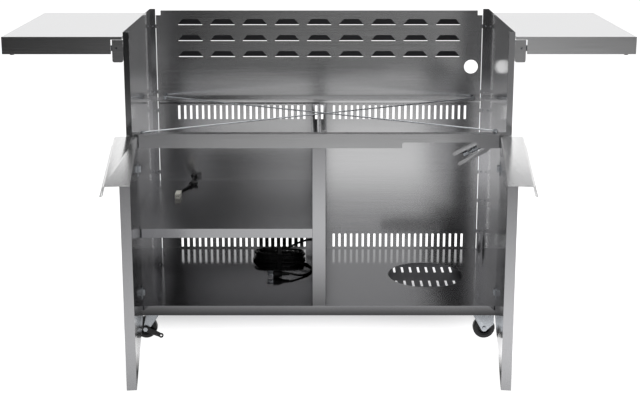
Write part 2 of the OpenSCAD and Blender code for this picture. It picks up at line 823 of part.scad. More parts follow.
module left_door_skin() door_skin();
module right_door_skin() other_side() door_skin();
module left_door_liner() door_liner();
module right_door_liner() other_side() door_liner();
module left_door_handle() door_handle();
module right_door_handle() other_side() door_handle();
module left_door_hinges() door_hinges();
module right_door_hinges() other_side() door_hinges();
module left_hinge_arms() hinge_arms();
module right_hinge_arms() other_side() hinge_arms();

// Side shelf, drawn raised on the right-hand side
wing_d = cab_d + wing_over;
wing_in = half_w + wing_gap;
wing_out = wing_in + wing_w;
wing_top = top_z - wing_drop;
wing_bottom = wing_top - wing_h;
// The pivot is as high over the shelf's underside as leaves the gap beside the panel when it hangs down
wing_pivot = [half_w + wing_pivot_out, wing_bottom + wing_pivot_out - wing_gap];
skirt_in = wing_pivot[0] + 14.5;
ear_inset = 3;
ear_y = [ear_inset, wing_d - ear_inset - ear_t];
ear_foot_t = 2;
ear_foot_len = 45;
ear_foot_z = [-25, 5];
ear_round = 5;
ear_rise = 23;
// How far a bracket's ear reaches from the pivot. Nothing on the shelf crosses its plane nearer than this.
ear_reach = ear_round + norm([
    max(wing_pivot_out - ear_foot_t, ear_foot_t + ear_w - wing_pivot_out) - ear_round,
    ear_h - ear_rise - ear_round
]);
swing_in = wing_pivot[0] + ear_reach + clear;
lug_y = [ear_y[0] + ear_t + clear, ear_y[1] - clear - ear_t];
lug_r = 8;
lug_len = 20;

module side_shelf() color(pale) {
    difference() {
        block([wing_in, 0, wing_bottom], [wing_out, wing_d, wing_top]);
        block([wing_in + sheet_t, sheet_t, wing_bottom + sheet_t],
              [wing_out - sheet_t, wing_d - sheet_t, wing_top - sheet_t]);
        block([wing_in - 1, -1, wing_bottom - 1], [skirt_in, wing_d + 1, wing_top - wing_strip]);
        block([skirt_in - 1, sheet_t, wing_bottom - 1], [swing_in, wing_d - sheet_t, wing_bottom + sheet_t + 1]);
        block([skirt_in - 1, wing_return, wing_bottom - 1],
              [wing_out - wing_return, wing_d - wing_return, wing_bottom + sheet_t + 1]);
    }
}

stiffener_w = 40;
stiffener_d = 18;
stiffener_foot = 12;
stiffener_end = 20;

// Two hat sections under the top, from the brackets out to the skirt
module shelf_stiffener() color(dark) {
    under = wing_top - sheet_t;
    half = stiffener_w / 2;
    for (y = [wing_d * 0.3, wing_d * 0.7])
        translate([0, y, under]) cheek(skirt_in + stiffener_end, wing_out - stiffener_end) {
            rect([-half, -stiffener_d], [half, sheet_t - stiffener_d]);
            for (side = [-1, 1]) {
                rect([side > 0 ? half - sheet_t : -half, -stiffener_d],
                     [side > 0 ? half : sheet_t - half, 0]);
                rect([side > 0 ? half - sheet_t : -half - stiffener_foot, -sheet_t],
                     [side > 0 ? half + stiffener_foot : sheet_t - half, 0]);
            }
        }
}

// Lugs riveted inside the skirts, with the pivot pins they carry
module shelf_hinges() color(zinc) {
    for (i = [0, 1]) {
        difference() {
            union() {
                block([wing_pivot[0], lug_y[i], wing_pivot[1] - lug_r],
                      [swing_in + lug_len, lug_y[i] + ear_t, wing_pivot[1] + lug_r]);
                translate([wing_pivot[0], lug_y[i], wing_pivot[1]]) rotate([-90, 0, 0])
                    cylinder(h = ear_t, r = lug_r);
                lug_foot(i);
            }
            translate([wing_pivot[0], lug_y[i] - 1, wing_pivot[1]]) rotate([-90, 0, 0])
                cylinder(h = ear_t + 2, r = wing_pin_r + run / 2);
        }
        translate([wing_pivot[0], min(ear_y[i], lug_y[i]) - 1, wing_pivot[1]]) rotate([-90, 0, 0])
            cylinder(h = 2 * ear_t + clear + 2, r = wing_pin_r);
    }
}

// Foot that packs a lug out from its skirt
module lug_foot(i) {
    y = i == 0 ? [sheet_t, lug_y[0] + 1] : [lug_y[1] + ear_t - 1, wing_d - sheet_t];
    block([swing_in, y[0], wing_pivot[1] - lug_r], [swing_in + lug_len, y[1], wing_pivot[1] + lug_r]);
}

bumper_in = 25;
bumper_shift = 2;

module shelf_bumpers() color(black) {
    for (y = [wing_return / 2 + bumper_shift, wing_d - wing_return / 2 - bumper_shift])
        translate([wing_out - bumper_in, y, wing_bottom - wing_gap + clear])
            cylinder(h = wing_gap - clear, r = bumper_r);
}

// Brackets on the side panel: a foot on the panel and an ear with the pivot hole
module shelf_brackets() color(brushed) {
    ear_in = half_w + ear_foot_t;
    low = wing_pivot[1] + ear_rise - ear_h;
    for (i = [0, 1]) {
        foot_y = i == 0 ? [ear_y[0], ear_y[0] + ear_foot_len] : [ear_y[1] + ear_t - ear_foot_len, ear_y[1] + ear_t];
        difference() {
            union() {
                wall(ear_y[i], ear_y[i] + ear_t) {
                    rect([ear_in - 1, low + ear_round], [ear_in + ear_w, wing_pivot[1] + ear_rise]);
                    for (x = [ear_round, ear_w - ear_round])
                        translate([ear_in + x, low + ear_round]) circle(ear_round);
                    rect([ear_in + ear_round, low], [ear_in + ear_w - ear_round, low + ear_round + 1]);
                }
                block([half_w, foot_y[0], wing_pivot[1] + ear_foot_z[0]],
                      [ear_in, foot_y[1], wing_pivot[1] + ear_foot_z[1]]);
            }
            translate([wing_pivot[0], ear_y[i] - 1, wing_pivot[1]]) rotate([-90, 0, 0])
                cylinder(h = ear_t + 2, r = wing_pin_r + run);
        }
    }
}

module right_side_shelf() side_shelf();
module left_side_shelf() other_side() side_shelf();
module right_shelf_stiffener() shelf_stiffener();
module left_shelf_stiffener() other_side() shelf_stiffener();
module right_shelf_hinges() shelf_hinges();
module left_shelf_hinges() other_side() shelf_hinges();
module right_shelf_bumpers() shelf_bumpers();
module left_shelf_bumpers() other_side() shelf_bumpers();
module right_shelf_brackets() shelf_brackets();
module left_shelf_brackets() other_side() shelf_brackets();

// Casters. Left pair: swivel, trailing outwards, with a brake pedal. Right pair: rigid.
caster_x = half_w - caster_in;
caster_y = [caster_deep, cab_d - caster_deep];
plate_bottom = base_z - plate_t;
race_bottom = plate_bottom - 6;
head_t = 3.2;
head_top = race_bottom - clear;
head_bottom = head_top - head_t;
leg_in = wheel_w / 2 + 1.3;
leg_out = leg_in + leg_t;
bolt_half = [plate_w / 2 - 8, plate_d / 2 - 8];

module at_bolts() for (sx = [-1, 1], sy = [-1, 1]) translate([sx * bolt_half[0], sy * bolt_half[1], 0]) children();
module at_casters(side) for (y = caster_y) translate([side * caster_x, y, 0]) children();

module caster_bolt_holes() at_casters(1) at_bolts()
    translate([0, 0, plate_bottom - 1]) cylinder(h = plate_t + 6, r = 3.5 + run);

module caster_bolts() color(zinc) {
    for (side = [-1, 1]) at_casters(side) at_bolts() {
        translate([0, 0, plate_bottom - 4.5]) cylinder(h = 4.5, r = 6.2, $fn = 6);
        translate([0, 0, plate_bottom - 1]) cylinder(h = plate_t + 8, r = 3.5);
        translate([0, 0, base_z + 2]) cylinder(h = 4, r = 6.2, $fn = 6);
    }
}

module caster_plate() {
    difference() {
        translate([-plate_w / 2, -plate_d / 2, plate_bottom]) cube([plate_w, plate_d, plate_t]);
        at_bolts() translate([0, 0, plate_bottom - 1]) cylinder(h = plate_t + 2, r = 3.5 + run);
    }
}

module swivel_caster_plates() color(zinc) at_casters(-1) {
    caster_plate();
    translate([0, 0, race_bottom]) cylinder(h = 6, r1 = 18, r2 = 21);
    translate([0, 0, head_bottom - 5]) cylinder(h = race_bottom - head_bottom + 6, r = 5);
    translate([0, 0, head_bottom - clear - 3]) cylinder(h = 3, r = 9, $fn = 6);
}

head_r = 20;
axle_end_r = 9;

// Outline of a leg: its corners at the head, then drawn in to the axle
module leg_outline(corners, lean) {
    polygon(concat(corners, [[lean + 8, wheel_r - 4], [lean - 8, wheel_r - 4]]));
    translate([lean, wheel_r]) circle(axle_end_r);
}

module swivel_fork() color(zinc) {
    difference() {
        union() {
            translate([0, 0, head_bottom]) cylinder(h = head_t, r = head_r);
            block([-head_r, -leg_out, head_bottom], [head_r, leg_out, head_top]);
            for (side = [-1, 1])
                wall(side > 0 ? leg_in : -leg_out, side > 0 ? leg_out : -leg_in)
                    leg_outline([[-head_r, head_top], [head_r, head_top]], -caster_trail);
        }
        translate([0, 0, head_bottom - 1]) cylinder(h = head_t + 2, r = 5 + run);
        translate([-caster_trail, -30, wheel_r]) rotate([-90, 0, 0]) cylinder(h = 60, r = axle_r + run);
    }
    axle(-caster_trail, 1);
}

pedal_t = 4;

// Axle bolt with its head in front and its nut behind; pedals is 1 where a pedal sits under the head
module axle(x, pedals) {
    head_y = -leg_out - pedals * (pedal_t + 2 * clear);
    translate([x, 0, wheel_r]) rotate([-90, 0, 0]) {
        translate([0, 0, head_y]) cylinder(h = leg_out - head_y + 1, r = axle_r);
        translate([0, 0, head_y - 4]) cylinder(h = 4, r = 7, $fn = 6);
        translate([0, 0, leg_out]) cylinder(h = 5, r = 7, $fn = 6);
    }
}

pedal_tip = [44, -20];

module brake_pedal() color(black) translate([-caster_trail, -leg_out - clear - pedal_t, wheel_r]) {
    difference() {
        union() {
            rotate([-90, 0, 0]) cylinder(h = pedal_t, r = 9.5);
            wall(0, pedal_t) polygon([[5, 7.5], pedal_tip + [3, 5], pedal_tip + [-2, -5.5], [-4, -8]]);
            translate([pedal_tip[0], 0, pedal_tip[1]]) rotate([-90, 0, 0]) cylinder(h = pedal_t, r = 7);
        }
        translate([0, -1, 0]) rotate([-90, 0, 0]) cylinder(h = pedal_t + 2, r = axle_r + run);
        translate([pedal_tip[0], -1, pedal_tip[1]]) rotate([-90, 0, 0]) cylinder(h = pedal_t + 2, r = 3);
    }
}

module wheel(x) color(black) translate([x, 0, wheel_r]) rotate([-90, 0, 0]) {
    half = wheel_w / 2;
    hub_r = wheel_r * 0.62;
    rotate_extrude($fn = 96) difference() {
        translate([hub_r, -half]) square([wheel_r - hub_r, wheel_w]);
        for (side = [-1, 1])
            translate([wheel_r, side * half]) rotate(45) square(4, center = true);
    }
    rotate_extrude($fn = 96) {
        translate([axle_r + run, -half - 1]) square([4, wheel_w + 2]);
        translate([axle_r + run, -3]) square([hub_r - axle_r - run, 6]);
        translate([hub_r - 3, -half + 1]) square([3, wheel_w - 2]);
    }
}

// Half widths of a rigid frame, to the left and to the right of its axle
rigid_half = [33, 27];
rib_r = 12;
rib_z = wheel_r + 30;

module rigid_frame() {
    corners = [
        [-rigid_half[0], wheel_r + 40], [-rigid_half[0], plate_bottom],
        [rigid_half[1], plate_bottom], [rigid_half[1], wheel_r + 14]
    ];
    caster_plate();
    difference() {
        union() {
            for (side = [-1, 1]) {
                wall(side > 0 ? leg_in : -leg_out, side > 0 ? leg_out : -leg_in) leg_outline(corners, 0);
                wall(side > 0 ? leg_out : -leg_out - 1.2, side > 0 ? leg_out + 1.2 : -leg_out) {
                    translate([0, rib_z]) circle(rib_r);
                    rect([-rib_r, rib_z], [rib_r, plate_bottom]);
                }
            }
            block([-rigid_half[0], -leg_out, plate_bottom - leg_t], [rigid_half[1], leg_out, plate_bottom]);
        }
        translate([0, -30, wheel_r]) rotate([-90, 0, 0]) cylinder(h = 60, r = axle_r + run);
    }
    axle(0, 0);
}

module rigid_caster_frames() color(zinc) at_casters(1) rigid_frame();

module at_caster(side, row) translate([side * caster_x, caster_y[row], 0]) children();
module front_left_fork() at_caster(-1, 0) swivel_fork();
module rear_left_fork() at_caster(-1, 1) swivel_fork();
module front_left_pedal() at_caster(-1, 0) brake_pedal();
module rear_left_pedal() at_caster(-1, 1) brake_pedal();
module front_left_wheel() at_caster(-1, 0) wheel(-caster_trail);
module rear_left_wheel() at_caster(-1, 1) wheel(-caster_trail);
module front_right_wheel() at_caster(1, 0) wheel(0);
module rear_right_wheel() at_caster(1, 1) wheel(0);

// Cords. A gland is a threaded body through its panel, a nut behind and a dome in front.
gland_thread_r = 8;
mains_exit = [0, 450, floor_z + 55];
supply_exit = [-405, back_y, inner_shelf_z + 14];

// Gland along +Z, its panel's near face at height 0
gland_len = 13;

module gland(panel_t) {
    translate([0, 0, -panel_t - 3]) cylinder(h = panel_t + 4, r = gland_thread_r);
    translate([0, 0, -panel_t - 3]) cylinder(h = 3, r = gland_thread_r + 3, $fn = 6);
    cylinder(h = 4, r = gland_thread_r + 3, $fn = 6);
    translate([0, 0, 4]) cylinder(h = gland_len - 4, r1 = gland_thread_r, r2 = 5.5);
}

module cord_glands() color(black) {
    translate([-sheet_t / 2, mains_exit[1], mains_exit[2]]) rotate([0, -90, 0]) gland(sheet_t);
    translate(supply_exit) rotate([90, 0, 0]) gland(sheet_t);
}

// Lowest height of a cord's middle above what it lies on: cut flat by a tenth of its diameter
function rest_rise(d) = d * 0.4;

function smooth_point(p, i, t) =
    let (n = len(p) - 1, a = p[max(i - 1, 0)], b = p[i], c = p[min(i + 1, n)], d = p[min(i + 2, n)])
    0.5 * ((2 * b) + (c - a) * t + (2 * a - 5 * b + 4 * c - d) * t * t + (3 * b - a - 3 * c + d) * t * t * t);
function smooth_path(p, steps) = concat(
    [for (i = [0:len(p) - 2], s = [0:steps - 1]) smooth_point(p, i, s / steps)], [p[len(p) - 1]]);
function tangent(p, i) = unit(p[min(i + 1, len(p) - 1)] - p[max(i - 1, 0)]);

// Ring of points round a path's point, level sideways, with its lowest points held at a floor
function ring(p, i, r, sides, ground) =
    let (t = tangent(p, i), s = unit(cross(t, [0, 0, 1])), u = cross(s, t))
    [for (k = [0:sides - 1])
        let (a = 360 * (k + 0.5) / sides, q = p[i] + r * (cos(a) * s + sin(a) * u))
        [q[0], q[1], max(q[2], ground)]];

// One closed tube swept along a path
module tube(path, r, sides, ground) {
    n = len(path);
    rings = [for (i = [0:n - 1]) ring(path, i, r, sides, ground)];
    points = [for (one = rings, q = one) q];
    walls = [for (i = [0:n - 2], k = [0:sides - 1])
        let (a = i * sides + k, b = i * sides + (k + 1) % sides)
        each [[a, b + sides, b], [a, a + sides, b + sides]]];
    first = [for (k = [1:sides - 2]) [0, k, k + 1]];
    last = [for (k = [1:sides - 2]) let (e = (n - 1) * sides) [e, e + k + 1, e + k]];
    polyhedron(points = points, faces = concat(walls, first, last), convexity = 10);
}

// Hank: loops drawn in at the waist. It starts on top, in the middle of its rear run, spirals in and out,
// comes down a layer at each reversal, and ends on the floor in the middle of its front run.
hank_centre = [-125, 414];
hank_half = [66, 30];
hank_waist = 0.55;
hank_step = 9.6;
hank_drop = mains_d + 0.6;
hank_marks = [0.25, 1.75, 3.25, 4.75, 6.75];
hank_layers = len(hank_marks) - 1;
hank_rings = 24;
function hank_layer(turn) = len([for (m = hank_marks) if (turn >= m) m]) - 1;
function hank_offset(turn) =
    let (k = min(hank_layer(turn), hank_layers - 1), from = hank_marks[k], to = hank_marks[k + 1])
    hank_step * (k % 2 == 0 ? to - turn : turn - from);
function hank_height(turn) =
    let (falls = [for (k = [1:hank_layers - 1]) min(max((turn - hank_marks[k]) / 0.5 + 0.5, 0), 1)])
    hank_drop * (hank_layers - 1 - falls * [for (f = falls) 1]);
function hank_point(turn) =
    let (a = 360 * turn, r = hank_offset(turn), waist = hank_waist + (1 - hank_waist) * pow(cos(a), 2))
    [hank_centre[0] + (hank_half[0] + r) * cos(a),
     hank_centre[1] + (hank_half[1] * waist + r) * sin(a),
     floor_z + rest_rise(mains_d) + hank_height(turn)];
hank_path = [for (turn = [hank_marks[0]:1 / hank_rings:hank_marks[hank_layers] + 0.001]) hank_point(turn)];
hank_start = hank_path[0];
hank_end = hank_path[len(hank_path) - 1];

function path_length(p) = [for (i = [1:len(p) - 1]) norm(p[i] - p[i - 1])] * [for (i = [1:len(p) - 1]) 1];
hank_gap = min([for (i = [0:len(hank_path) - 1], j = [i + 6:1:len(hank_path) - 1])
    norm(hank_path[i] - hank_path[j])]) - mains_d;

module mains_hank() color(black) tube(hank_path, mains_d / 2, 6, floor_z);

// Route of the mains lead from its gland to the hank, then from the hank round to the plug
mains_lie = floor_z + rest_rise(mains_d);
mains_tail_route = [
    [-sheet_t / 2 - gland_len, mains_exit[1], mains_exit[2]],
    mains_exit - [20, 0, 0], mains_exit - [28, 0, 0], mains_exit - [45, 0, 3], mains_exit - [65, 0, 10],
    mains_exit - [85, 2, 19], mains_exit - [105, 4, 27],
    hank_start + [mains_d, 0, 0], hank_start + [mains_d / 2, 0, 0], hank_start
];
plug_y = 243;
plug_z = floor_z + 12;
plug_route = [
    hank_end, hank_end + [mains_d / 2, 0, 0], hank_end + [mains_d, 0, 0],
    [-90, 378, mains_lie], [-65, 375, mains_lie], [-43, 363, mains_lie], [-29, 342, mains_lie],
    [-24, 316, mains_lie], [-27, 290, mains_lie], [-38, 266, mains_lie], [-56, 250, mains_lie + 1.2],
    [-74, plug_y, plug_z - 3], [-84, plug_y, plug_z], [-88, plug_y, plug_z], [-92, plug_y, plug_z]
];
tail_path = smooth_path(mains_tail_route, 3);
plug_path = smooth_path(plug_route, 3);
echo(tail = path_length(tail_path), hank = path_length(hank_path), plug_lead = path_length(plug_path),
     hank_gap_to_itself = hank_gap);

module mains_lead() color(black) {
    tube(tail_path, mains_d / 2, 8, floor_z);
    tube(plug_path, mains_d / 2, 8, floor_z);
}

// Strap over the hank's waist, down to the floor on both sides
module hank_tie() color(dark) {
    wall_t = 1.5;
    front = hank_end[1] - mains_d / 2 - clear;
    rear = hank_start[1] + mains_d / 2 + clear;
    top = hank_start[2] + mains_d / 2 + clear;
    difference() {
        block([hank_centre[0] - 6, front - wall_t, floor_z], [hank_centre[0] + 6, rear + wall_t, top + wall_t]);
        block([hank_centre[0] - 7, front, floor_z - 1], [hank_centre[0] + 7, rear, top]);
    }
}

// Plug: strain relief, moulded body and three pins, pointing left
module mains_plug() translate(plug_route[len(plug_route) - 1]) rotate([0, -90, 0]) {
    color(black) {
        cylinder(h = 20, r1 = 5, r2 = 7);
        translate([0, 0, 20]) cylinder(h = 12, r1 = 9, r2 = 12);
        translate([0, 0, 32]) cylinder(h = 16, r = 12);
    }
    color(zinc) {
        for (side = [-1, 1])
            translate([-4, side * 6.35 - 0.75, 47]) cube([6.35, 1.5, 18]);
        translate([7, 0, 47]) cylinder(h = 21, r = 2.4);
    }
}

// Supply lead: gland on the back panel, a moulded branch, and a connector on the interior shelf
branch_rear = [-405, 488, inner_shelf_z + 7];
branch_front = [-409, 460, inner_shelf_z + 7];
branch_along = unit(branch_rear - branch_front);
branch_r = 6;
supply_lie = inner_shelf_z + rest_rise(supply_d);
supply_start = supply_exit - [0, gland_len, 0];
supply_rear_route = [
    supply_start, supply_start - [0, 3, 0], supply_start - [0, 6, 0], supply_start - [-0.3, 15.3, 3.5],
    branch_rear + 6 * branch_along, branch_rear + 3 * branch_along, branch_rear
];
connector_z = inner_shelf_z + 7;
supply_front_route = [
    branch_front, branch_front - 3 * branch_along, branch_front - 6 * branch_along,
    [-413, 442, supply_lie + 1.1], [-418, 428, supply_lie], [-424, 412, supply_lie], [-429, 398, supply_lie],
    [-432, 384, supply_lie + 2.1], [-433.7, 372, connector_z - 0.3], [-434, 362, connector_z],
    [-434, 359, connector_z], [-434, 356, connector_z]
];
supply_rear_path = smooth_path(supply_rear_route, 3);
supply_front_path = smooth_path(supply_front_route, 3);
echo(supply_rear = path_length(supply_rear_path), supply_front = path_length(supply_front_path));

module supply_lead() color(black) {
    tube(supply_rear_path, supply_d / 2, 8, inner_shelf_z);
    tube(supply_front_path, supply_d / 2, 8, inner_shelf_z);
}

// Moulded branch, with a short outlet on its right that a cap closes
module supply_splitter() color(black) {
    translate(branch_front) rotate([0, 90, atan2(branch_along[1], branch_along[0])])
        cylinder(h = norm(branch_rear - branch_front), r = branch_r);
    translate((branch_front + branch_rear) / 2) rotate([0, 90, 0]) {
        cylinder(h = 2 * branch_r, r = 4);
        translate([0, 0, 2 * branch_r]) cylinder(h = 8, r = 5);
    }
}

connector_size = [16, 43, 14];
socket_x = 4;
socket_r = 2.2;

module supply_connector() color(pale) {
    at = supply_front_route[len(supply_front_route) - 1];
    translate([at[0] - connector_size[0] / 2, at[1] - connector_size[1], inner_shelf_z]) difference() {
        cube(connector_size);
        for (side = [-1, 1])
            translate([connector_size[0] / 2 + side * socket_x, -1, connector_z - inner_shelf_z])
                rotate([-90, 0, 0]) cylinder(h = 12, r = socket_r);
    }
}

left_side_panel();
right_side_panel();
upper_back_panel();
lower_back_panel();
rear_rail();
front_rail();
floor_panel();
tank_pan();
left_base_channel();
right_base_channel();
centre_mullion();
divider_panel();
interior_shelf();
lower_cross_rod();
upper_cross_rod();
cross_rod_bolts();
fork_bracket();
fork_bolt();
door_magnets();
back_panel_screws();
left_shelf_brackets();
right_shelf_brackets();
left_hinge_arms();
right_hinge_arms();
swivel_caster_plates();
rigid_caster_frames();
caster_bolts();
cord_glands();
mains_lead();
mains_hank();
hank_tie();
mains_plug();
supply_lead();
supply_splitter();
supply_connector();
left_door_skin();
left_door_liner();
left_door_handle();
left_door_hinges();
right_door_skin();
right_door_liner();
right_door_handle();
right_door_hinges();
left_side_shelf();
left_shelf_stiffener();
left_shelf_hinges();
left_shelf_bumpers();
right_side_shelf();
right_shelf_stiffener();
right_shelf_hinges();
right_shelf_bumpers();
front_left_fork();
front_left_pedal();
front_left_wheel();
rear_left_fork();
rear_left_pedal();
rear_left_wheel();
front_right_wheel();
rear_right_wheel();
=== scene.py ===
"""Looks of the grill cart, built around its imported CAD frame.

Lengths are in metres, in the frame of the CAD: +X is right, +Y is back and +Z is up.
"""

from __future__ import annotations

import json
import logging
import math
from collections.abc import Sequence
from dataclasses import dataclass
from enum import Enum
from typing import Any

import bmesh
import bpy
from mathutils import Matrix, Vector

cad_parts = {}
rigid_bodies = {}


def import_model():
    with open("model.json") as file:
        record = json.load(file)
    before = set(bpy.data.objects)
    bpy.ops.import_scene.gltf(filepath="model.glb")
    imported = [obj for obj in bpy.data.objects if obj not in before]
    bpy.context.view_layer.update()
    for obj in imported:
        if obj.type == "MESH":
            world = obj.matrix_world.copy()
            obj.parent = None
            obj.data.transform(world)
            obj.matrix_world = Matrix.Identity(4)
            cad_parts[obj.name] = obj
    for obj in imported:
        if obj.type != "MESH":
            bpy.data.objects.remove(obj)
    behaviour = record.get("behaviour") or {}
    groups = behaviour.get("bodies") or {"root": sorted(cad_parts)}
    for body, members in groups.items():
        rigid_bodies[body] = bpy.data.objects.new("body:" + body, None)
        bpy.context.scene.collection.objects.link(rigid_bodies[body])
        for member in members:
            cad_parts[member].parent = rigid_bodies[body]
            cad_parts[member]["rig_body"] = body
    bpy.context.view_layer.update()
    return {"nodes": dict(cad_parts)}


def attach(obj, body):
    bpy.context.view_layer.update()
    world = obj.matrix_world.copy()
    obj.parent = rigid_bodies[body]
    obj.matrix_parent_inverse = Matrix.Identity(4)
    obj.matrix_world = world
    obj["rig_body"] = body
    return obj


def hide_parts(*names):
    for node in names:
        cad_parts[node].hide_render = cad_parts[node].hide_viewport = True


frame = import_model()
log = logging.getLogger("grill_cart")

Point = tuple[float, float, float]
Ring = tuple[float, float]

# Upper face of the cabinet's floor panel, rear face of its back panels, and thickness of its sheet.
FLOOR_TOP = 0.117
DEPTH = 0.533
SHEET = 0.0012

# Places of the casters: the left pair trails outwards, and both pairs stand at the same depths.
PLATE_X = 0.480
SWIVELLED_X = -0.503
CASTER_DEPTHS = (0.057, 0.476)
WHEEL_RADIUS = 0.03175

# How far sharp edges are rounded, on folded sheet and on mouldings.
SHEET_EDGE = 0.0004
MOULDED_EDGE = 0.001

# Neighbouring triangles that turn by less than FLAT_WITHIN become one face. Edges that turn by more than ROUND_OVER
# are rounded, and those that turn by more than SHARP_OVER are shaded sharp, or by more than TURNED_SHARP_OVER on the
# pieces made here. Each step of a rounded right angle turns 22 degrees or more, so the sheet beside it stays flat.
FLAT_WITHIN = math.radians(0.5)
ROUND_OVER = math.radians(35)
SHARP_OVER = math.radians(18)
TURNED_SHARP_OVER = math.radians(38)

# Where most of a noise's values lie.
NOISE_LOW, NOISE_HIGH = 0.3, 0.7

# Points of a cord's curve from one point of its route to the next.
ROUTE_STEPS = 6


class Grain(Enum):
    """Direction of the brushing lines on a sheet."""

    ACROSS = 0
    DEEP = 1
    UPRIGHT = 2


def linear(hex_colour: str) -> tuple[float, float, float, float]:
    """Turns an sRGB hex value into linear RGBA.

    Args:
        hex_colour: Six digits, such as "8d8d8f".

    Returns:
        Red, green, blue and alpha for a shader socket.
    """
    channels = (int(hex_colour[i : i + 2], 16) / 255 for i in (0, 2, 4))
    red, green, blue = (c / 12.92 if c <= 0.04045 else ((c + 0.055) / 1.055) ** 2.4 for c in channels)
    return red, green, blue, 1.0


def add_node(
    tree: bpy.types.NodeTree, kind: str, inputs: dict[str | int, Any] | None = None, **settings: Any
) -> bpy.types.Node:
    """Adds a node with its settings and links.

    Args:
        tree: The node tree that it goes in.
        kind: Blender's name for the kind of node.
        inputs: Value of each input by name or index. A socket is linked, anything else is set.
        settings: The node's own settings.

    Returns:
        The new node.
    """
    node = tree.nodes.new(kind)
    for name, value in settings.items():
        setattr(node, name, value)
    for key, value in (inputs or {}).items():
        if isinstance(value, bpy.types.NodeSocket):
            tree.links.new(value, node.inputs[key])
        else:
            node.inputs[key].default_value = value
    return node


def new_surface(name: str) -> tuple[bpy.types.Material, bpy.types.NodeTree, bpy.types.Node]:
    """Starts a material.

    Args:
        name: The finish's name.

    Returns:
        The material, its node tree and its shader.
    """
    material = bpy.data.materials.new(name)
    material.use_nodes = True
    return material, material.node_tree, material.node_tree.nodes["Principled BSDF"]


def fade(
    tree: bpy.types.NodeTree,
    value: bpy.types.NodeSocket,
    start: float,
    end: float,
    low: float | bpy.types.NodeSocket,
    high: float | bpy.types.NodeSocket,
) -> bpy.types.NodeSocket:
    """Fades from one value to another over a range, and holds each beyond its end.

    Args:
        tree: The node tree.
        value: The value that runs over the range.
        start: Where the range starts.
        end: Where it ends.
        low: Result at the start.
        high: Result at the end.

    Returns:
        The faded value's socket.
    """
    limits = {"Value": value, "From Min": start, "From Max": end, "To Min": low, "To Max": high}
    return add_node(tree, "ShaderNodeMapRange", limits).outputs[0]


def maths(
    tree: bpy.types.NodeTree, operation: str, one: float | bpy.types.NodeSocket, two: float | bpy.types.NodeSocket = 0.0
) -> bpy.types.NodeSocket:
    """Works out one sum.

    Args:
        tree: The node tree.
        operation: Blender's name for the sum.
        one: First value.
        two: Second value, where the sum has one.

    Returns:
        The result's socket.
    """
    return add_node(tree, "ShaderNodeMath", {0: one, 1: two}, operation=operation).outputs[0]


def spread(tree: bpy.types.NodeTree, noise: bpy.types.NodeSocket, low: float, high: float) -> bpy.types.NodeSocket:
    """Spreads a noise, which stays near its middle, over a range.

    Args:
        tree: The node tree.
        noise: The noise's value.
        low: Value where the noise is low.
        high: Value where it is high.

    Returns:
        The spread value's socket.
    """
    return fade(tree, noise, NOISE_LOW, NOISE_HIGH, low, high)


@dataclass(frozen=True)
class RolledSteel:
    """Type 304 stainless sheet, cold rolled and brushed along one direction.

    The brushing stretches each reflection across its lines, and the sheet's slight waviness bends it.
    """

    name: str
    grain: Grain
    colour: str = "b7b7b8"
    roughness: float = 0.26
    anisotropy: float = 0.6
    line_mm: float = 1.8
    line_long_mm: float = 160.0
    wave_mm: float = 250.0
    tone: float = 0.06

    def make(self) -> bpy.types.Material:
        """Makes the material.

        Returns:
            The new material.
        """
        material, tree, shader = new_surface(self.name)
        place = add_node(tree, "ShaderNodeTexCoord").outputs["Object"]
        # Real brushing is 0.05 to 0.2 mm wide, too fine for the render, so it is drawn ten times as coarse.
        scale = [1000 / self.line_mm] * 3
        scale[self.grain.value] = 1000 / self.line_long_mm
        lines_at = add_node(tree, "ShaderNodeMapping", {"Vector": place, "Scale": scale}).outputs[0]
        lines = add_node(tree, "ShaderNodeTexNoise", {"Vector": lines_at, "Scale": 1.0, "Detail": 3.0}).outputs[0]
        wave_scale = 1000 / self.wave_mm
        clouds = add_node(tree, "ShaderNodeTexNoise", {"Vector": place, "Scale": wave_scale, "Detail": 1.0}).outputs[0]
        rough = spread(tree, lines, self.roughness * 0.95, self.roughness * 1.05)
        tone = spread(tree, lines, 1.0 - self.tone, 1.0 + self.tone)
        colour = add_node(
            tree, "ShaderNodeVectorMath", {0: linear(self.colour)[:3], "Scale": tone}, operation="SCALE"
        ).outputs[0]
        wave = add_node(tree, "ShaderNodeBump", {"Height": clouds, "Strength": 0.4, "Distance": 0.0004}).outputs[0]
        bump = add_node(
            tree, "ShaderNodeBump", {"Height": lines, "Strength": 0.1, "Distance": 0.00003, "Normal": wave}
        ).outputs[0]
        # The lines run a degree or two off the axis, so that no face is square to them and left without a tangent.
        along = [0.03, 0.02, 0.01]
        along[self.grain.value] = 1.0
        line_way = add_node(
            tree, "ShaderNodeVectorTransform", {0: along}, vector_type="VECTOR", convert_from="OBJECT",
            convert_to="WORLD",
        ).outputs[0]
        across = add_node(
            tree, "ShaderNodeVectorMath",
            {0: add_node(tree, "ShaderNodeNewGeometry").outputs["Normal"], 1: line_way}, operation="CROSS_PRODUCT",
        ).outputs[0]
        for socket, value in (("Base Color", colour), ("Roughness", rough), ("Normal", bump), ("Tangent", across)):
            tree.links.new(value, shader.inputs[socket])
        shader.inputs["Metallic"].default_value = 1.0
        shader.inputs["Anisotropic"].default_value = self.anisotropy
        return material


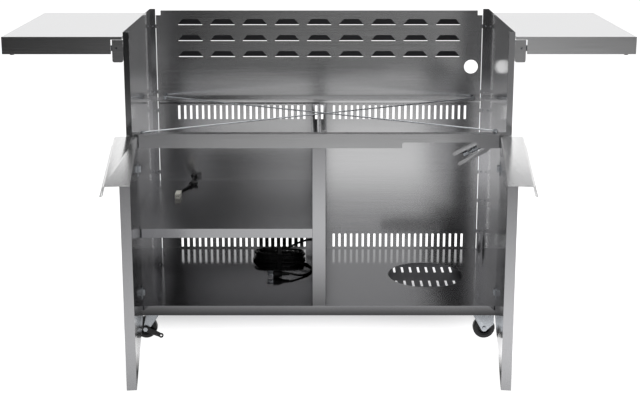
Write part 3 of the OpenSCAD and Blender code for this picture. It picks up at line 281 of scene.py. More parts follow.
@dataclass(frozen=True)
class ZincPlate:
    """Mild steel, stamped and plated with bright zinc, which leaves a slightly blue, faintly mottled shine."""

    name: str = "bright_zinc_plate"
    colour: str = "b9bdc2"
    roughness: float = 0.28
    grain_mm: float = 6.0

    def make(self) -> bpy.types.Material:
        """Makes the material.

        Returns:
            The new material.
        """
        material, tree, shader = new_surface(self.name)
        place = add_node(tree, "ShaderNodeTexCoord").outputs["Object"]
        mottle = add_node(
            tree, "ShaderNodeTexNoise", {"Vector": place, "Scale": 1000 / self.grain_mm, "Detail": 4.0}
        ).outputs[0]
        rough = spread(tree, mottle, self.roughness - 0.08, self.roughness + 0.08)
        bump = add_node(tree, "ShaderNodeBump", {"Height": mottle, "Strength": 0.15, "Distance": 0.0002}).outputs[0]
        tree.links.new(rough, shader.inputs["Roughness"])
        tree.links.new(bump, shader.inputs["Normal"])
        shader.inputs["Base Color"].default_value = linear(self.colour)
        shader.inputs["Metallic"].default_value = 1.0
        return material


@dataclass(frozen=True)
class Polymer:
    """A moulded or extruded plastic or rubber: a fine pebbled skin and a highlight as wide as its roughness."""

    name: str
    colour: str
    roughness: float
    pebble_mm: float = 1.2
    pebble: float = 0.2
    ior: float = 1.5

    def make(self) -> bpy.types.Material:
        """Makes the material.

        Returns:
            The new material.
        """
        material, tree, shader = new_surface(self.name)
        place = add_node(tree, "ShaderNodeTexCoord").outputs["Object"]
        skin = add_node(
            tree, "ShaderNodeTexNoise", {"Vector": place, "Scale": 1000 / self.pebble_mm, "Detail": 2.0}
        ).outputs[0]
        rough = spread(tree, skin, self.roughness * 0.8, self.roughness * 1.2)
        bump = add_node(
            tree, "ShaderNodeBump", {"Height": skin, "Strength": self.pebble, "Distance": 0.0001}
        ).outputs[0]
        tree.links.new(rough, shader.inputs["Roughness"])
        tree.links.new(bump, shader.inputs["Normal"])
        shader.inputs["Base Color"].default_value = linear(self.colour)
        shader.inputs["IOR"].default_value = self.ior
        return material


class Finishes:
    """The cart's finishes, made once and kept by name."""

    def __init__(self) -> None:
        """Makes every finish."""
        # Polished and brushed stainless sheet: fine lines, and reflections drawn out across them, clearer where the
        # sheet is smoother. Each panel's tone and smoothness are matched to the photograph, though the panels may all
        # be one grade of sheet.
        # Where the panels' tones differ, they stand for how light falls on each: painted light where paler, painted
        # shade where darker.
        self.wall = RolledSteel("steel_polished_wall", Grain.DEEP, "b4b4b6", 0.14, 0.4).make()
        self.vented = RolledSteel("steel_smooth_brushed", Grain.ACROSS, "c0c0c1", 0.19, 0.5).make()
        self.mirror = RolledSteel("steel_mirror_floor", Grain.DEEP, "acacae", 0.11, 0.3).make()
        # Tank pan: a dull, rough finish, and drawn darker than the steel, a painted shade inside the cabinet.
        self.dull = RolledSteel("steel_dull_pan_painted_shade", Grain.ACROSS, "77777a", 0.4, 0.3).make()
        self.face = RolledSteel("steel_brushed_across", Grain.ACROSS).make()
        self.deep = RolledSteel("steel_brushed_front_to_back", Grain.DEEP, "a6a6a8", 0.2).make()
        self.bright = RolledSteel("steel_bright_annealed", Grain.ACROSS, "c4c4c5", 0.16, 0.4).make()
        self.liner = RolledSteel("steel_mirror_rolled", Grain.UPRIGHT, "98989b", 0.1, 0.3).make()
        # Handle ledges and shelf tops: painted light, a paler tone than the steel has, as where light falls on their
        # tops.
        self.ledge = RolledSteel("steel_ledge_painted_light", Grain.DEEP, "f0f0f0", 0.22, 0.4).make()
        self.top = RolledSteel("steel_top_painted_light", Grain.ACROSS, "ededee", 0.2, 0.4).make()
        # Inside the louvres' hoods: painted shade, the steel drawn nearly black.
        self.hood = RolledSteel("steel_louvre_painted_shade", Grain.ACROSS, "3a3a3c", 0.4, 0.3).make()
        # Plated and drawn metal: a softer, faintly mottled shine on the hardware, and a paler one on the rods.
        self.zinc = ZincPlate().make()
        self.nickel = ZincPlate("dull_nickel_plate", "8f9296", 0.24).make()
        self.rod = ZincPlate("drawn_bright_rod", "dcdfe3", 0.34).make()
        # Moulded rubber and nylon: matt, with wide dim highlights, and glossier on the cords' extruded jacket. All but
        # the connector's natural nylon are black.
        self.rubber = Polymer("black_rubber", "1b1b1c", 0.55).make()
        self.tread = Polymer("hard_rubber_tread", "171718", 0.42, 2.0).make()
        self.moulding = Polymer("moulded_black_nylon", "1d1d1e", 0.42).make()
        self.jacket = Polymer("extruded_pvc_jacket", "131314", 0.26, 3.0, 0.05).make()
        self.nylon = Polymer("natural_nylon", "e4e2d8", 0.4).make()


def mesh_object(name: str, mesh: bpy.types.Mesh, material: bpy.types.Material | None) -> bpy.types.Object:
    """Puts a mesh in the scene.

    Args:
        name: The piece's name.
        mesh: The mesh, in the row frame.
        material: Its finish, or None where it has its own.

    Returns:
        The new object.
    """
    if material is not None:
        mesh.materials.clear()
        mesh.materials.append(material)
    piece = bpy.data.objects.new(name, mesh)
    bpy.context.scene.collection.objects.link(piece)
    return piece


def baked(piece: bpy.types.Object) -> bpy.types.Object:
    """Applies a piece's modifiers and leaves a plain mesh.

    Args:
        piece: The object with modifiers.

    Returns:
        The same object.
    """
    bpy.context.view_layer.update()
    solid = piece.evaluated_get(bpy.context.evaluated_depsgraph_get())
    mesh = bpy.data.meshes.new_from_object(solid)
    piece.modifiers.clear()
    piece.data = mesh
    return piece


def stands_for(piece: bpy.types.Object, node: str) -> bpy.types.Object:
    """Puts a finished piece in a CAD node's place, on its body.

    Args:
        piece: The finished piece.
        node: The CAD node.

    Returns:
        The piece.
    """
    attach(piece, frame["nodes"][node]["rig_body"])
    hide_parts(node)
    return piece


def shade_hoods(piece: bpy.types.Object, material: bpy.types.Material) -> None:
    """Paints shade inside the louvres' hoods, with a darker copy of the panel's steel.

    The hoods are the panel's own steel. They are drawn darker by choice, because the white room shines in through
    their mouths, where the photograph shows them almost black.

    Args:
        piece: The upper back panel, whose hoods stand behind its rear face.
        material: The darker steel inside the hoods, a painted shade.
    """
    piece.data.materials.append(material)
    for face in piece.data.polygons:
        behind_panel = face.center.y > DEPTH + 1e-4
        faces_forwards = face.normal.y < -0.05
        if behind_panel and faces_forwards:
            face.material_index = 1


def softened(node: str, material: bpy.types.Material, radius: float = SHEET_EDGE) -> bpy.types.Object:
    """Copies a CAD solid, joins its loose triangles, rounds its edges and puts the copy in its place.

    Args:
        node: The CAD node.
        material: The finish.
        radius: How far each sharp edge is taken off, or 0 to leave the edges of a perforated sheet as punched.

    Returns:
        The piece that stands for the node.
    """
    mesh = frame["nodes"][node].data.copy()
    shape = bmesh.new()
    shape.from_mesh(mesh)
    bmesh.ops.remove_doubles(shape, verts=shape.verts, dist=1e-6)
    bmesh.ops.dissolve_limit(shape, angle_limit=FLAT_WITHIN, verts=shape.verts, edges=shape.edges)
    for face in shape.faces:
        face.smooth = True
    shape.to_mesh(mesh)
    shape.free()
    piece = mesh_object(f"{node}_sheet", mesh, material)
    if radius:
        bevel = piece.modifiers.new("edges", "BEVEL")
        bevel.width, bevel.segments, bevel.limit_method = radius, 2, "ANGLE"
        bevel.angle_limit = ROUND_OVER
        baked(piece)
    piece.data.set_sharp_from_angle(angle=SHARP_OVER)
    return stands_for(piece, node)


def report(piece: bpy.types.Object) -> None:
    """Logs a finished piece.

    Args:
        piece: The piece, a mesh or a curve.
    """
    log.info("%s: %d faces", piece.name, len(getattr(piece.data, "polygons", ())))


@dataclass(frozen=True)
class SoftBox:
    """Square soft lamp, which the camera doesn't see."""

    name: str
    place: Point
    aim: Point
    size: float
    watts: float

    def build(self) -> None:
        """Makes the lamp."""
        data = bpy.data.lights.new(self.name, "AREA")
        data.shape, data.size, data.energy = "SQUARE", self.size, self.watts
        lamp = bpy.data.objects.new(self.name, data)
        lamp.location = self.place
        lamp.visible_camera = False
        lamp.rotation_euler = (Vector(self.aim) - Vector(self.place)).to_track_quat("-Z", "Y").to_euler()
        bpy.context.scene.collection.objects.link(lamp)


@dataclass
class Studio:
    """Pale floor, soft lamps and the camera at the photograph's viewpoint.

    The room and the floor are brighter in some directions than in others. They are set so that the steel shows the
    reflections that the photograph shows.
    """

    eye: Point = (0.00274, -3.277, 1.358)
    middle: Point = (0.0, 0.2, 0.5)
    pitch: float = 0.22088
    lens: float = 68.30
    shift: float = -0.115
    shadow_glow: float = 0.42
    metal_glow: float = 0.9
    floor_half: float = 9.0

    def build(self) -> None:
        """Makes the camera, lamps, world and floor."""
        self.camera()
        self.lamps()
        self.world()
        self.floor()
        bpy.context.scene.view_settings.view_transform = "Standard"

    def camera(self) -> None:
        """Makes the camera, which looks a little down and keeps a small shift."""
        data = bpy.data.cameras.new("camera")
        data.lens, data.sensor_width, data.shift_y = self.lens, 36.0, self.shift
        camera = bpy.data.objects.new("camera", data)
        camera.location = self.eye
        camera.rotation_euler = (math.pi / 2 - self.pitch, 0.0, 0.0)
        bpy.context.scene.collection.objects.link(camera)
        bpy.context.scene.camera = camera

    def lamps(self) -> None:
        """Makes the soft boxes."""
        for box in (
            SoftBox("overhead", (0.0, -0.3, 3.2), (0.0, 0.2, 0.0), 2.4, 40.0),
            SoftBox("camera_box", (0.3, -3.75, 1.5), self.middle, 1.5, 5.4),
            SoftBox("right_box", (3.2, -1.2, 1.7), self.middle, 1.4, 19.0),
            SoftBox("left_box", (-2.6, -2.2, 2.2), self.middle, 1.2, 1.5),
        ):
            box.build()

    def world(self) -> None:
        """Makes a room that is white behind the cart, dimmer high up and dark behind the camera."""
        world = bpy.data.worlds.new("studio")
        bpy.context.scene.world = world
        world.use_nodes = True
        tree = world.node_tree
        tree.nodes.clear()
        ray = add_node(tree, "ShaderNodeLightPath")
        way = add_node(tree, "ShaderNodeTexCoord").outputs["Generated"]
        split = add_node(tree, "ShaderNodeSeparateXYZ", {0: way}).outputs
        front = fade(tree, split["X"], -0.5, 0.5, 0.03, 0.12)
        rear = fade(tree, split["Z"], 0.24, 0.4, 1.0, 0.3)
        room = fade(tree, split["Y"], -0.15, 0.35, front, rear)
        seen = add_node(tree, "ShaderNodeMix", {"Factor": ray.outputs["Is Camera Ray"], 2: room, 3: 1.0}).outputs[0]
        light = add_node(tree, "ShaderNodeBackground", {"Color": (1.0, 1.0, 1.0, 1.0), "Strength": seen})
        add_node(tree, "ShaderNodeOutputWorld", {"Surface": light.outputs[0]})

    def floor(self) -> None:
        """Makes the pale floor, which the camera sees as even white with the cart's shadow on it, and whose colour and
        glow in reflections are painted by the pool.
        """
        half = self.floor_half
        mesh = bpy.data.meshes.new("studio_floor")
        mesh.from_pydata([(-half, -half, 0), (half, -half, 0), (half, half, 0), (-half, half, 0)], [], [(0, 1, 2, 3)])
        material, tree, shader = new_surface("white_studio_floor")
        shader.inputs["Roughness"].default_value = 0.9
        shader.inputs["Specular IOR Level"].default_value = 0.0
        ray = add_node(tree, "ShaderNodeLightPath").outputs
        place = add_node(tree, "ShaderNodeTexCoord").outputs["Object"]
        split = add_node(tree, "ShaderNodeSeparateXYZ", {0: place}).outputs

        # The pool paints light and shade on the floor: it sets the floor's glow in metal's reflections and darkens its
        # own colour.
        pool = self.pool(tree, split)
        gloss = maths(tree, "MAXIMUM", ray["Is Glossy Ray"], ray["Is Transmission Ray"])
        in_metal = maths(tree, "MULTIPLY", gloss, maths(tree, "MULTIPLY", pool, self.metal_glow))
        to_camera = maths(tree, "MULTIPLY", ray["Is Camera Ray"], self.open_floor(tree, split))
        strength = maths(tree, "ADD", in_metal, to_camera)
        tone = add_node(
            tree, "ShaderNodeVectorMath", {0: linear("f4f4f4")[:3], "Scale": pool}, operation="SCALE"
        ).outputs[0]
        tree.links.new(tone, shader.inputs["Base Color"])
        tree.links.new(strength, shader.inputs["Emission Strength"])
        shader.inputs["Emission Color"].default_value = (1.0, 1.0, 1.0, 1.0)
        mesh_object("studio_floor", mesh, material)

    @staticmethod
    def pool(tree: bpy.types.NodeTree, split: Any) -> bpy.types.NodeSocket:
        """Paints light and shade on the floor that metal sees: bright round the cart, darker just before it and towards
        the camera.

        Args:
            tree: The floor's node tree.
            split: Sockets of the floor's X and Y.

        Returns:
            The brightness's socket, from 0 to 1.
        """
        near = fade(tree, split["Y"], -3.9, -1.2, 0.04, 1.0)
        deep = maths(tree, "MAXIMUM", near, fade(tree, split["X"], 0.5, 1.4, 0.0, 0.35))
        before_cart = fade(tree, split["Y"], -1.0, -0.22, 1.0, 0.08)
        contact = maths(tree, "MAXIMUM", before_cart, fade(tree, split["Y"], -0.2, -0.06, 0.0, 0.9))
        right = fade(tree, split["X"], 1.2, 3.0, 1.0, 0.2)
        left = fade(tree, split["X"], -2.0, 0.0, 0.05, 1.0)
        middle = maths(tree, "MULTIPLY", maths(tree, "MULTIPLY", deep, contact), maths(tree, "MULTIPLY", left, right))
        beside = fade(tree, maths(tree, "ABSOLUTE", split["X"]), 0.9, 1.4, 0.0, 0.6)
        flank = maths(tree, "MULTIPLY", beside, fade(tree, split["Y"], -1.8, -1.0, 0.0, 1.0))
        return maths(tree, "MAXIMUM", middle, flank)

    def open_floor(self, tree: bpy.types.NodeTree, split: Any) -> bpy.types.NodeSocket:
        """Finds the floor that isn't under the cart. There it glows white, and under the cart its glow is dimmed: a
        painted shade, in which the cart's real shadow shows.

        Args:
            tree: The floor's node tree.
            split: Sockets of the floor's X and Y.

        Returns:
            The glow's socket, from the shadow's value to 1.
        """
        dim = self.shadow_glow
        beside = fade(tree, maths(tree, "ABSOLUTE", split["X"]), 0.45, 0.62, dim, 1.0)
        before = fade(tree, split["Y"], 0.08, 0.24, 1.0, dim)
        behind = fade(tree, split["Y"], 0.5, 0.8, dim, 1.0)
        return maths(tree, "MAXIMUM", maths(tree, "MAXIMUM", before, behind), beside)


def closed_mesh(name: str, rings: Sequence[Sequence[Vector]], loop: bool = False) -> bpy.types.Mesh:
    """Joins rings of points into one closed skin.

    Args:
        name: The mesh's name.
        rings: Rings with the same number of points.
        loop: Whether the last ring joins the first, instead of two capped ends.

    Returns:
        The mesh, with its faces outwards.
    """
    shape = bmesh.new()
    rows = [[shape.verts.new(q) for q in ring] for ring in rings]
    for low, high in zip(rows, rows[1:] + ([rows[0]] if loop else [])):
        for k in range(len(low)):
            after = (k + 1) % len(low)
            shape.faces.new((low[k], low[after], high[after], high[k]))
    if not loop:
        shape.faces.new(list(reversed(rows[0])))
        shape.faces.new(rows[-1])
    bmesh.ops.recalc_face_normals(shape, faces=shape.faces)
    for face in shape.faces:
        face.smooth = True
    mesh = bpy.data.meshes.new(name)
    shape.to_mesh(mesh)
    shape.free()
    mesh.set_sharp_from_angle(angle=TURNED_SHARP_OVER)
    return mesh


def turned(
    name: str, centre: Point, axis: Point, profile: Sequence[Ring], sides: int = 32, loop: bool = False
) -> bpy.types.Mesh:
    """Turns a profile round an axis, as on a lathe.

    Args:
        name: The mesh's name.
        centre: Point on the axis where the profile's length is zero.
        axis: Direction of the axis.
        profile: Pairs of length along the axis and radius.
        sides: Points round the axis.
        loop: Whether the profile closes on itself, as a tyre's does.

    Returns:
        The mesh.
    """
    way = Vector(axis).normalized()
    side = way.orthogonal().normalized()
    up = way.cross(side)
    angles = [math.tau * k / sides for k in range(sides)]
    rings = [
        [Vector(centre) + way * along + (side * math.cos(a) + up * math.sin(a)) * radius for a in angles]
        for along, radius in profile
    ]
    return closed_mesh(name, rings, loop)


def tapered(name: str, path: Sequence[Vector], radii: Sequence[float], sides: int = 20) -> bpy.types.Mesh:
    """Sweeps a changing radius along a path.

    Args:
        name: The mesh's name.
        path: The points that it follows.
        radii: Radius at each point.
        sides: Points round the path.

    Returns:
        The mesh.
    """
    rings = []
    for i, (point, radius) in enumerate(zip(path, radii)):
        way = (path[min(i + 1, len(path) - 1)] - path[max(i - 1, 0)]).normalized()
        side = way.cross(Vector((0, 0, 1))).normalized()
        up = side.cross(way)
        angles = [math.tau * k / sides for k in range(sides)]
        rings.append([point + (side * math.cos(a) + up * math.sin(a)) * radius for a in angles])
    return closed_mesh(name, rings)


def joined(name: str, meshes: Sequence[bpy.types.Mesh]) -> bpy.types.Mesh:
    """Puts several meshes into one.

    Args:
        name: The new mesh's name.
        meshes: The meshes.

    Returns:
        The new mesh.
    """
    shape = bmesh.new()
    for mesh in meshes:
        shape.from_mesh(mesh)
    mesh = bpy.data.meshes.new(name)
    shape.to_mesh(mesh)
    shape.free()
    return mesh


def smooth_path(points: Sequence[Point | Vector], steps: int) -> list[Vector]:
    """Runs one smooth curve through a route's points.

    Args:
        points: The route.
        steps: Pieces between two neighbouring points.

    Returns:
        The curve's points.
    """
    p = [Vector(q) for q in points]
    last = len(p) - 1
    out = []
    for i in range(last):
        a, b, c, d = p[max(i - 1, 0)], p[i], p[i + 1], p[min(i + 2, last)]
        for s in range(steps):
            t = s / steps
            out.append(
                0.5 * (2 * b + (c - a) * t + (2 * a - 5 * b + 4 * c - d) * t**2 + (3 * b - a - 3 * c + d) * t**3)
            )
    return [*out, p[last]]


def cord_piece(
    name: str, points: Sequence[Vector], diameter: float, material: bpy.types.Material
) -> bpy.types.Object:
    """Makes a round cord as one open spline.

    Args:
        name: The piece's name.
        points: Its centreline.
        diameter: Its diameter.
        material: The jacket's finish.

    Returns:
        The curve object.
    """
    data = bpy.data.curves.new(name, "CURVE")
    data.dimensions = "3D"
    data.bevel_depth, data.bevel_resolution, data.use_fill_caps = diameter / 2, 4, True
    spline = data.splines.new("POLY")
    spline.points.add(len(points) - 1)
    for slot, point in zip(spline.points, points):
        slot.co = (*point, 1.0)
    spline.use_smooth = True
    data.materials.append(material)
    piece = bpy.data.objects.new(name, data)
    bpy.context.scene.collection.objects.link(piece)
    return piece


@dataclass
class MainsLead:
    """Mains lead from the divider's gland, through its hank on the floor, to its plug.

    The hank lies in layers, wound inwards and outwards in turn from the top one down, and marks are the turns at
    which the layers start and end.
    """

    diameter: float = 0.007
    centre: tuple[float, float] = (-0.125, 0.414)
    half: tuple[float, float] = (0.066, 0.030)
    waist: float = 0.55
    step: float = 0.0096
    marks: tuple[float, ...] = (0.25, 1.75, 3.25, 4.75, 6.75)
    layer_gap: float = 0.0006
    points_per_turn: int = 72

    @property
    def lowest(self) -> float:
        """Height of the cord's middle where it lies on the floor."""
        return FLOOR_TOP + self.diameter * 0.5

    def hank_point(self, turn: float) -> Vector:
        """Finds a point of the hank.

        Args:
            turn: Turns wound so far.

        Returns:
            The point of the cord's middle.
        """
        layers = len(self.marks) - 1
        k = min(sum(turn >= m for m in self.marks) - 1, layers - 1)
        start, end = self.marks[k], self.marks[k + 1]
        out = self.step * (end - turn if k % 2 == 0 else turn - start)
        falls = sum(min(max((turn - m) / 0.5 + 0.5, 0.0), 1.0) for m in self.marks[1:layers])
        angle = math.tau * turn
        waist = self.waist + (1 - self.waist) * math.cos(angle) ** 2
        return Vector(
            (
                self.centre[0] + (self.half[0] + out) * math.cos(angle),
                self.centre[1] + (self.half[1] * waist + out) * math.sin(angle),
                self.lowest + (self.diameter + self.layer_gap) * (layers - 1 - falls),
            )
        )

    def route(self) -> list[Vector]:
        """Joins the tail, the hank and the plug's lead into one centreline.

        Returns:
            The centreline's points, from the gland to the plug.
        """
        count = round((self.marks[-1] - self.marks[0]) * self.points_per_turn)
        turns = (self.marks[0] + i / self.points_per_turn for i in range(count + 1))
        hank = [self.hank_point(t) for t in turns]
        along = Vector((self.diameter, 0.0, 0.0))
        rise = self.lowest
        start, end = hank[0], hank[-1]
        tail = [
            (-0.0136, 0.450, 0.172), (-0.020, 0.450, 0.172), (-0.028, 0.450, 0.172), (-0.045, 0.450, 0.169),
            (-0.065, 0.450, 0.162), (-0.085, 0.448, 0.153), (-0.105, 0.446, 0.145),
            start + along, start + along / 2, start,
        ]
        lead = [
            end, end + along / 2, end + along, (-0.090, 0.378, rise), (-0.065, 0.375, rise),
            (-0.043, 0.363, rise), (-0.029, 0.342, rise), (-0.024, 0.316, rise), (-0.027, 0.290, rise),
            (-0.038, 0.266, rise), (-0.056, 0.250, rise + 0.0012), (-0.074, 0.243, 0.126),
            (-0.084, 0.243, 0.129), (-0.088, 0.243, 0.129), (-0.092, 0.243, 0.129),
        ]
        return smooth_path(tail, ROUTE_STEPS)[:-1] + hank + smooth_path(lead, ROUTE_STEPS)[1:]

    def build(self, finishes: Finishes) -> None:
        """Args:
            finishes: The cart's finishes.
        """
        points = self.route()
        cord = cord_piece("mains_lead_jacket", points, self.diameter, finishes.jacket)
        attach(cord, "root")
        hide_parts("mains_lead", "mains_hank")
        plug = MainsPlug()
        body = plug.body(finishes)
        plug.pins(finishes)
        report(cord)
        report(body)


@dataclass
class MainsPlug:
    """Moulded three-pin plug that lies by the hank and points left."""

    end: Point = (-0.092, 0.243, 0.129)
    grip_r: float = 0.012
    grip_length: float = 0.047
    blade_apart: float = 0.00635
    blade_length: float = 0.0166
    relief_rings: int = 5

    def body(self, finishes: Finishes) -> bpy.types.Object:
        """Makes the ribbed strain relief and the moulded grip.

        Args:
            finishes: The cart's finishes.

        Returns:
            The piece that stands for the plug.
        """
        profile = [(0.0, 0.0048)]
        for k in range(self.relief_rings):
            at, radius = 0.001 + 0.0038 * k, 0.0050 + 0.0004 * k
            groove = radius - 0.0009
            profile += [(at, radius), (at + 0.0023, radius), (at + 0.0026, groove), (at + 0.0035, groove)]
        profile += [
            (0.0200, 0.0070), (0.0204, 0.0086), (0.0225, 0.0094), (0.0310, 0.0114), (0.0330, self.grip_r),
            (0.0455, self.grip_r), (0.0474, 0.0116), (0.0480, 0.0106),
        ]
        mesh = turned("mains_plug_grip", self.end, (-1, 0, 0), profile)
        return stands_for(mesh_object("mains_plug_grip", mesh, finishes.moulding), "mains_plug")

    def pins(self, finishes: Finishes) -> bpy.types.Object:
        """Makes two flat blades and the round earth pin.

        Args:
            finishes: The cart's finishes.

        Returns:
            The piece, which also stands for the plug.
        """
        x, y, z = self.end
        root = x - self.grip_length
        earth = [(0.0, 0.0024), (0.0185, 0.0024), (0.0202, 0.0018), (0.0210, 0.0008)]
        parts = [turned("earth_pin", (root, y, z + 0.007), (-1, 0, 0), earth, 16)]
        section = ((-0.00075, -0.0040), (0.00075, -0.0040), (0.00075, 0.0023), (-0.00075, 0.0023))
        for side in (-1, 1):
            blade = [Vector((root, y + side * self.blade_apart + dy, z + dz)) for dy, dz in section]
            tip = [q + Vector((-self.blade_length, 0, 0)) for q in blade]
            middle = sum(tip, Vector()) / 4
            point = [middle + (q - middle) * 0.6 + Vector((-0.0014, 0, 0)) for q in tip]
            parts.append(closed_mesh("blade", [blade, tip, point]))
        piece = mesh_object("mains_plug_pins", joined("mains_plug_pins", parts), finishes.zinc)
        return stands_for(piece, "mains_plug")


@dataclass
class Glands:
    """Threaded cord glands: one on the divider with a tapered strain relief, one on the back panel."""

    thread_r: float = 0.008
    divider_face: Point = (-0.0006, 0.450, 0.172)
    back_face: Point = (-0.405, 0.5318, 0.361)
    relief_end: float = -0.0385
    relief_root_r: float = 0.0053
    relief_taper: float = 0.0013
    relief_groove: float = 0.0004
    ribbed_share: float = 0.9

    def gland(self, name: str, face: Point, way: Point, mouth_r: float) -> list[bpy.types.Mesh]:
        """Makes a gland's nuts, thread and dome.

        Args:
            name: Start of its meshes' names.
            face: Point on its axis at the panel's near face.
            way: Direction in which the cord leaves.
            mouth_r: Radius at the dome's end.

        Returns:
            Its meshes.
        """
        r, back = self.thread_r, -SHEET - 0.003
        nut = r + 0.003
        return [
            turned(name + "_body", face, way, [
                (back - 0.0012, 0.0060), (back - 0.0008, r - 0.0004), (0.0036, r), (0.0042, r + 0.0006),
                (0.0052, r + 0.0004), (0.0095, 0.0069), (0.0118, mouth_r + 0.0006), (0.0130, mouth_r),
            ]),
            turned(name + "_nut", face, way, [(back, nut - 0.0008), (back + 0.0006, nut), (back + 0.003, nut)], 6),
            turned(name + "_front", face, way, [(0.0, nut), (0.0034, nut), (0.0040, nut - 0.0008)], 6),
        ]

    def build(self, finishes: Finishes) -> None:
        """Makes both glands and the mains lead's strain relief, which follows the lead's first straight part.

        Args:
            finishes: The cart's finishes.
        """
        parts = self.gland("divider_gland", self.divider_face, (-1, 0, 0), 0.0055)
        parts += self.gland("back_gland", self.back_face, (0, -1, 0), 0.0048)
        gland_y = self.divider_face[1]
        path = [q for q in MainsLead().route() if q.x > self.relief_end and abs(q.y - gland_y) < 0.001]
        radii = []
        for i in range(len(path)):
            share = i / (len(path) - 1)
            groove = self.relief_groove if i % 2 and share < self.ribbed_share else 0.0
            radii.append(self.relief_root_r - self.relief_taper * share - groove)
        parts.append(tapered("mains_strain_relief", path, radii))
        piece = mesh_object("cord_gland_set", joined("cord_gland_set", parts), finishes.moulding)
        report(stands_for(piece, "cord_glands"))


@dataclass
class CasterWheel:
    """Wheel with a rounded hard rubber tyre, a recessed disc and a raised hub, turned about its axle."""

    node: str
    centre: Point
    radius: float = WHEEL_RADIUS
    half: float = 0.012
    bore: float = 0.00405
    rim_share: float = 0.62

    def build(self, finishes: Finishes) -> None:
        """Makes the wheel.

        Args:
            finishes: The cart's finishes.
        """
        r, h = self.radius, self.half
        rim = r * self.rim_share
        profile = [
            (-h, self.bore), (-h, 0.0074), (-h + 0.0008, 0.0082), (-0.0042, 0.0088), (-0.0032, 0.0100),
            (-0.0032, rim - 0.0046), (-0.0042, rim - 0.0036), (-h + 0.0016, rim - 0.0028),
            (-h + 0.0010, rim - 0.0020), (-h + 0.0010, rim - 0.0003), (-h + 0.0018, rim),
            (-h + 0.0018, rim + 0.0005), (-h, rim + 0.0012),
            (-h, r - 0.0046), (-h + 0.0006, r - 0.0029), (-h + 0.0024, r - 0.0009), (-h + 0.0052, r),
        ]
        profile += [(-along, radius) for along, radius in reversed(profile)]
        mesh = turned(self.node, self.centre, (0, 1, 0), profile, 56, True)
        report(stands_for(mesh_object(self.node + "_tyre", mesh, finishes.tread), self.node))


@dataclass(frozen=True)
class Fasteners:
    """Screws or bolts of one kind, placed by Geometry Nodes on a point for each.

    Along its axis a fastener's head starts at zero, and shank and nut are pairs of where they start and end.
    """

    name: str
    node: str
    places: tuple[Point, ...]
    turn: Point
    head_r: float
    crown_r: float
    head_h: float
    sides: int
    shank_r: float
    shank: tuple[float, float]
    nut: tuple[float, float] | None = None

    def tree(self, material: bpy.types.Material) -> tuple[bpy.types.NodeTree, dict[str, float]]:
        """Builds the node tree.

        Args:
            material: The fastener's finish.

        Returns:
            The tree, and the value of each named input by its socket's identifier.
        """
        tree = bpy.data.node_groups.new(self.name, "GeometryNodeTree")
        tree.interface.new_socket("Places", in_out="INPUT", socket_type="NodeSocketGeometry")
        tree.interface.new_socket("Fasteners", in_out="OUTPUT", socket_type="NodeSocketGeometry")
        values = {
            "Head radius": self.head_r, "Crown radius": self.crown_r, "Head height": self.head_h,
            "Shank radius": self.shank_r, "Shank length": self.shank[1] - self.shank[0],
        }
        if self.nut:
            values["Nut height"] = self.nut[1] - self.nut[0]
        named = {}
        for title, value in values.items():
            socket = tree.interface.new_socket(title, in_out="INPUT", socket_type="NodeSocketFloat")
            named[socket.identifier] = value
        given = add_node(tree, "NodeGroupInput").outputs
        parts = []
        cone = {"Vertices": self.sides, "Radius Top": given["Crown radius"], "Radius Bottom": given["Head radius"]}
        parts.append(add_node(tree, "GeometryNodeMeshCone", {**cone, "Depth": given["Head height"]}).outputs["Mesh"])
        shank = {"Vertices": 16, "Radius": given["Shank radius"], "Depth": given["Shank length"]}
        rod = add_node(tree, "GeometryNodeMeshCylinder", shank).outputs["Mesh"]
        parts.append(self.moved(tree, rod, sum(self.shank) / 2))
        if self.nut:
            flat = {**cone, "Radius Bottom": given["Crown radius"], "Radius Top": given["Head radius"]}
            nut = add_node(tree, "GeometryNodeMeshCone", {**flat, "Depth": given["Nut height"]}).outputs["Mesh"]
            parts.append(self.moved(tree, nut, self.nut[0]))
        whole = add_node(tree, "GeometryNodeJoinGeometry")
        for part in parts:
            tree.links.new(part, whole.inputs[0])
        spread_out = add_node(
            tree, "GeometryNodeInstanceOnPoints",
            {"Points": given["Places"], "Instance": whole.outputs[0], "Rotation": self.turn},
        ).outputs[0]
        real = add_node(tree, "GeometryNodeRealizeInstances", {0: spread_out}).outputs[0]
        dressed = add_node(tree, "GeometryNodeSetMaterial", {"Geometry": real, "Material": material}).outputs[0]
        add_node(tree, "NodeGroupOutput", {"Fasteners": dressed})
        return tree, named

    @staticmethod
    def moved(tree: bpy.types.NodeTree, part: bpy.types.NodeSocket, rise: float) -> bpy.types.NodeSocket:
        """Moves a part along the fastener's axis.

        Args:
            tree: The node tree.
            part: The part's mesh.
            rise: How far it is moved.

        Returns:
            The moved mesh's socket.
        """
        return add_node(
            tree, "GeometryNodeTransform", {"Geometry": part, "Translation": (0.0, 0.0, rise)}
        ).outputs[0]

    def build(self, finishes: Finishes) -> None:
        """Makes the fasteners.

        Args:
            finishes: The cart's finishes.
        """
        mesh = bpy.data.meshes.new(self.name)
        mesh.from_pydata(self.places, [], [])
        piece = mesh_object(self.name, mesh, finishes.zinc)
        modifier = piece.modifiers.new("fasteners", "NODES")
        tree, named = self.tree(finishes.zinc)
        modifier.node_group = tree
        for identifier, value in named.items():
            modifier[identifier] = value
        report(stands_for(baked(piece), self.node))


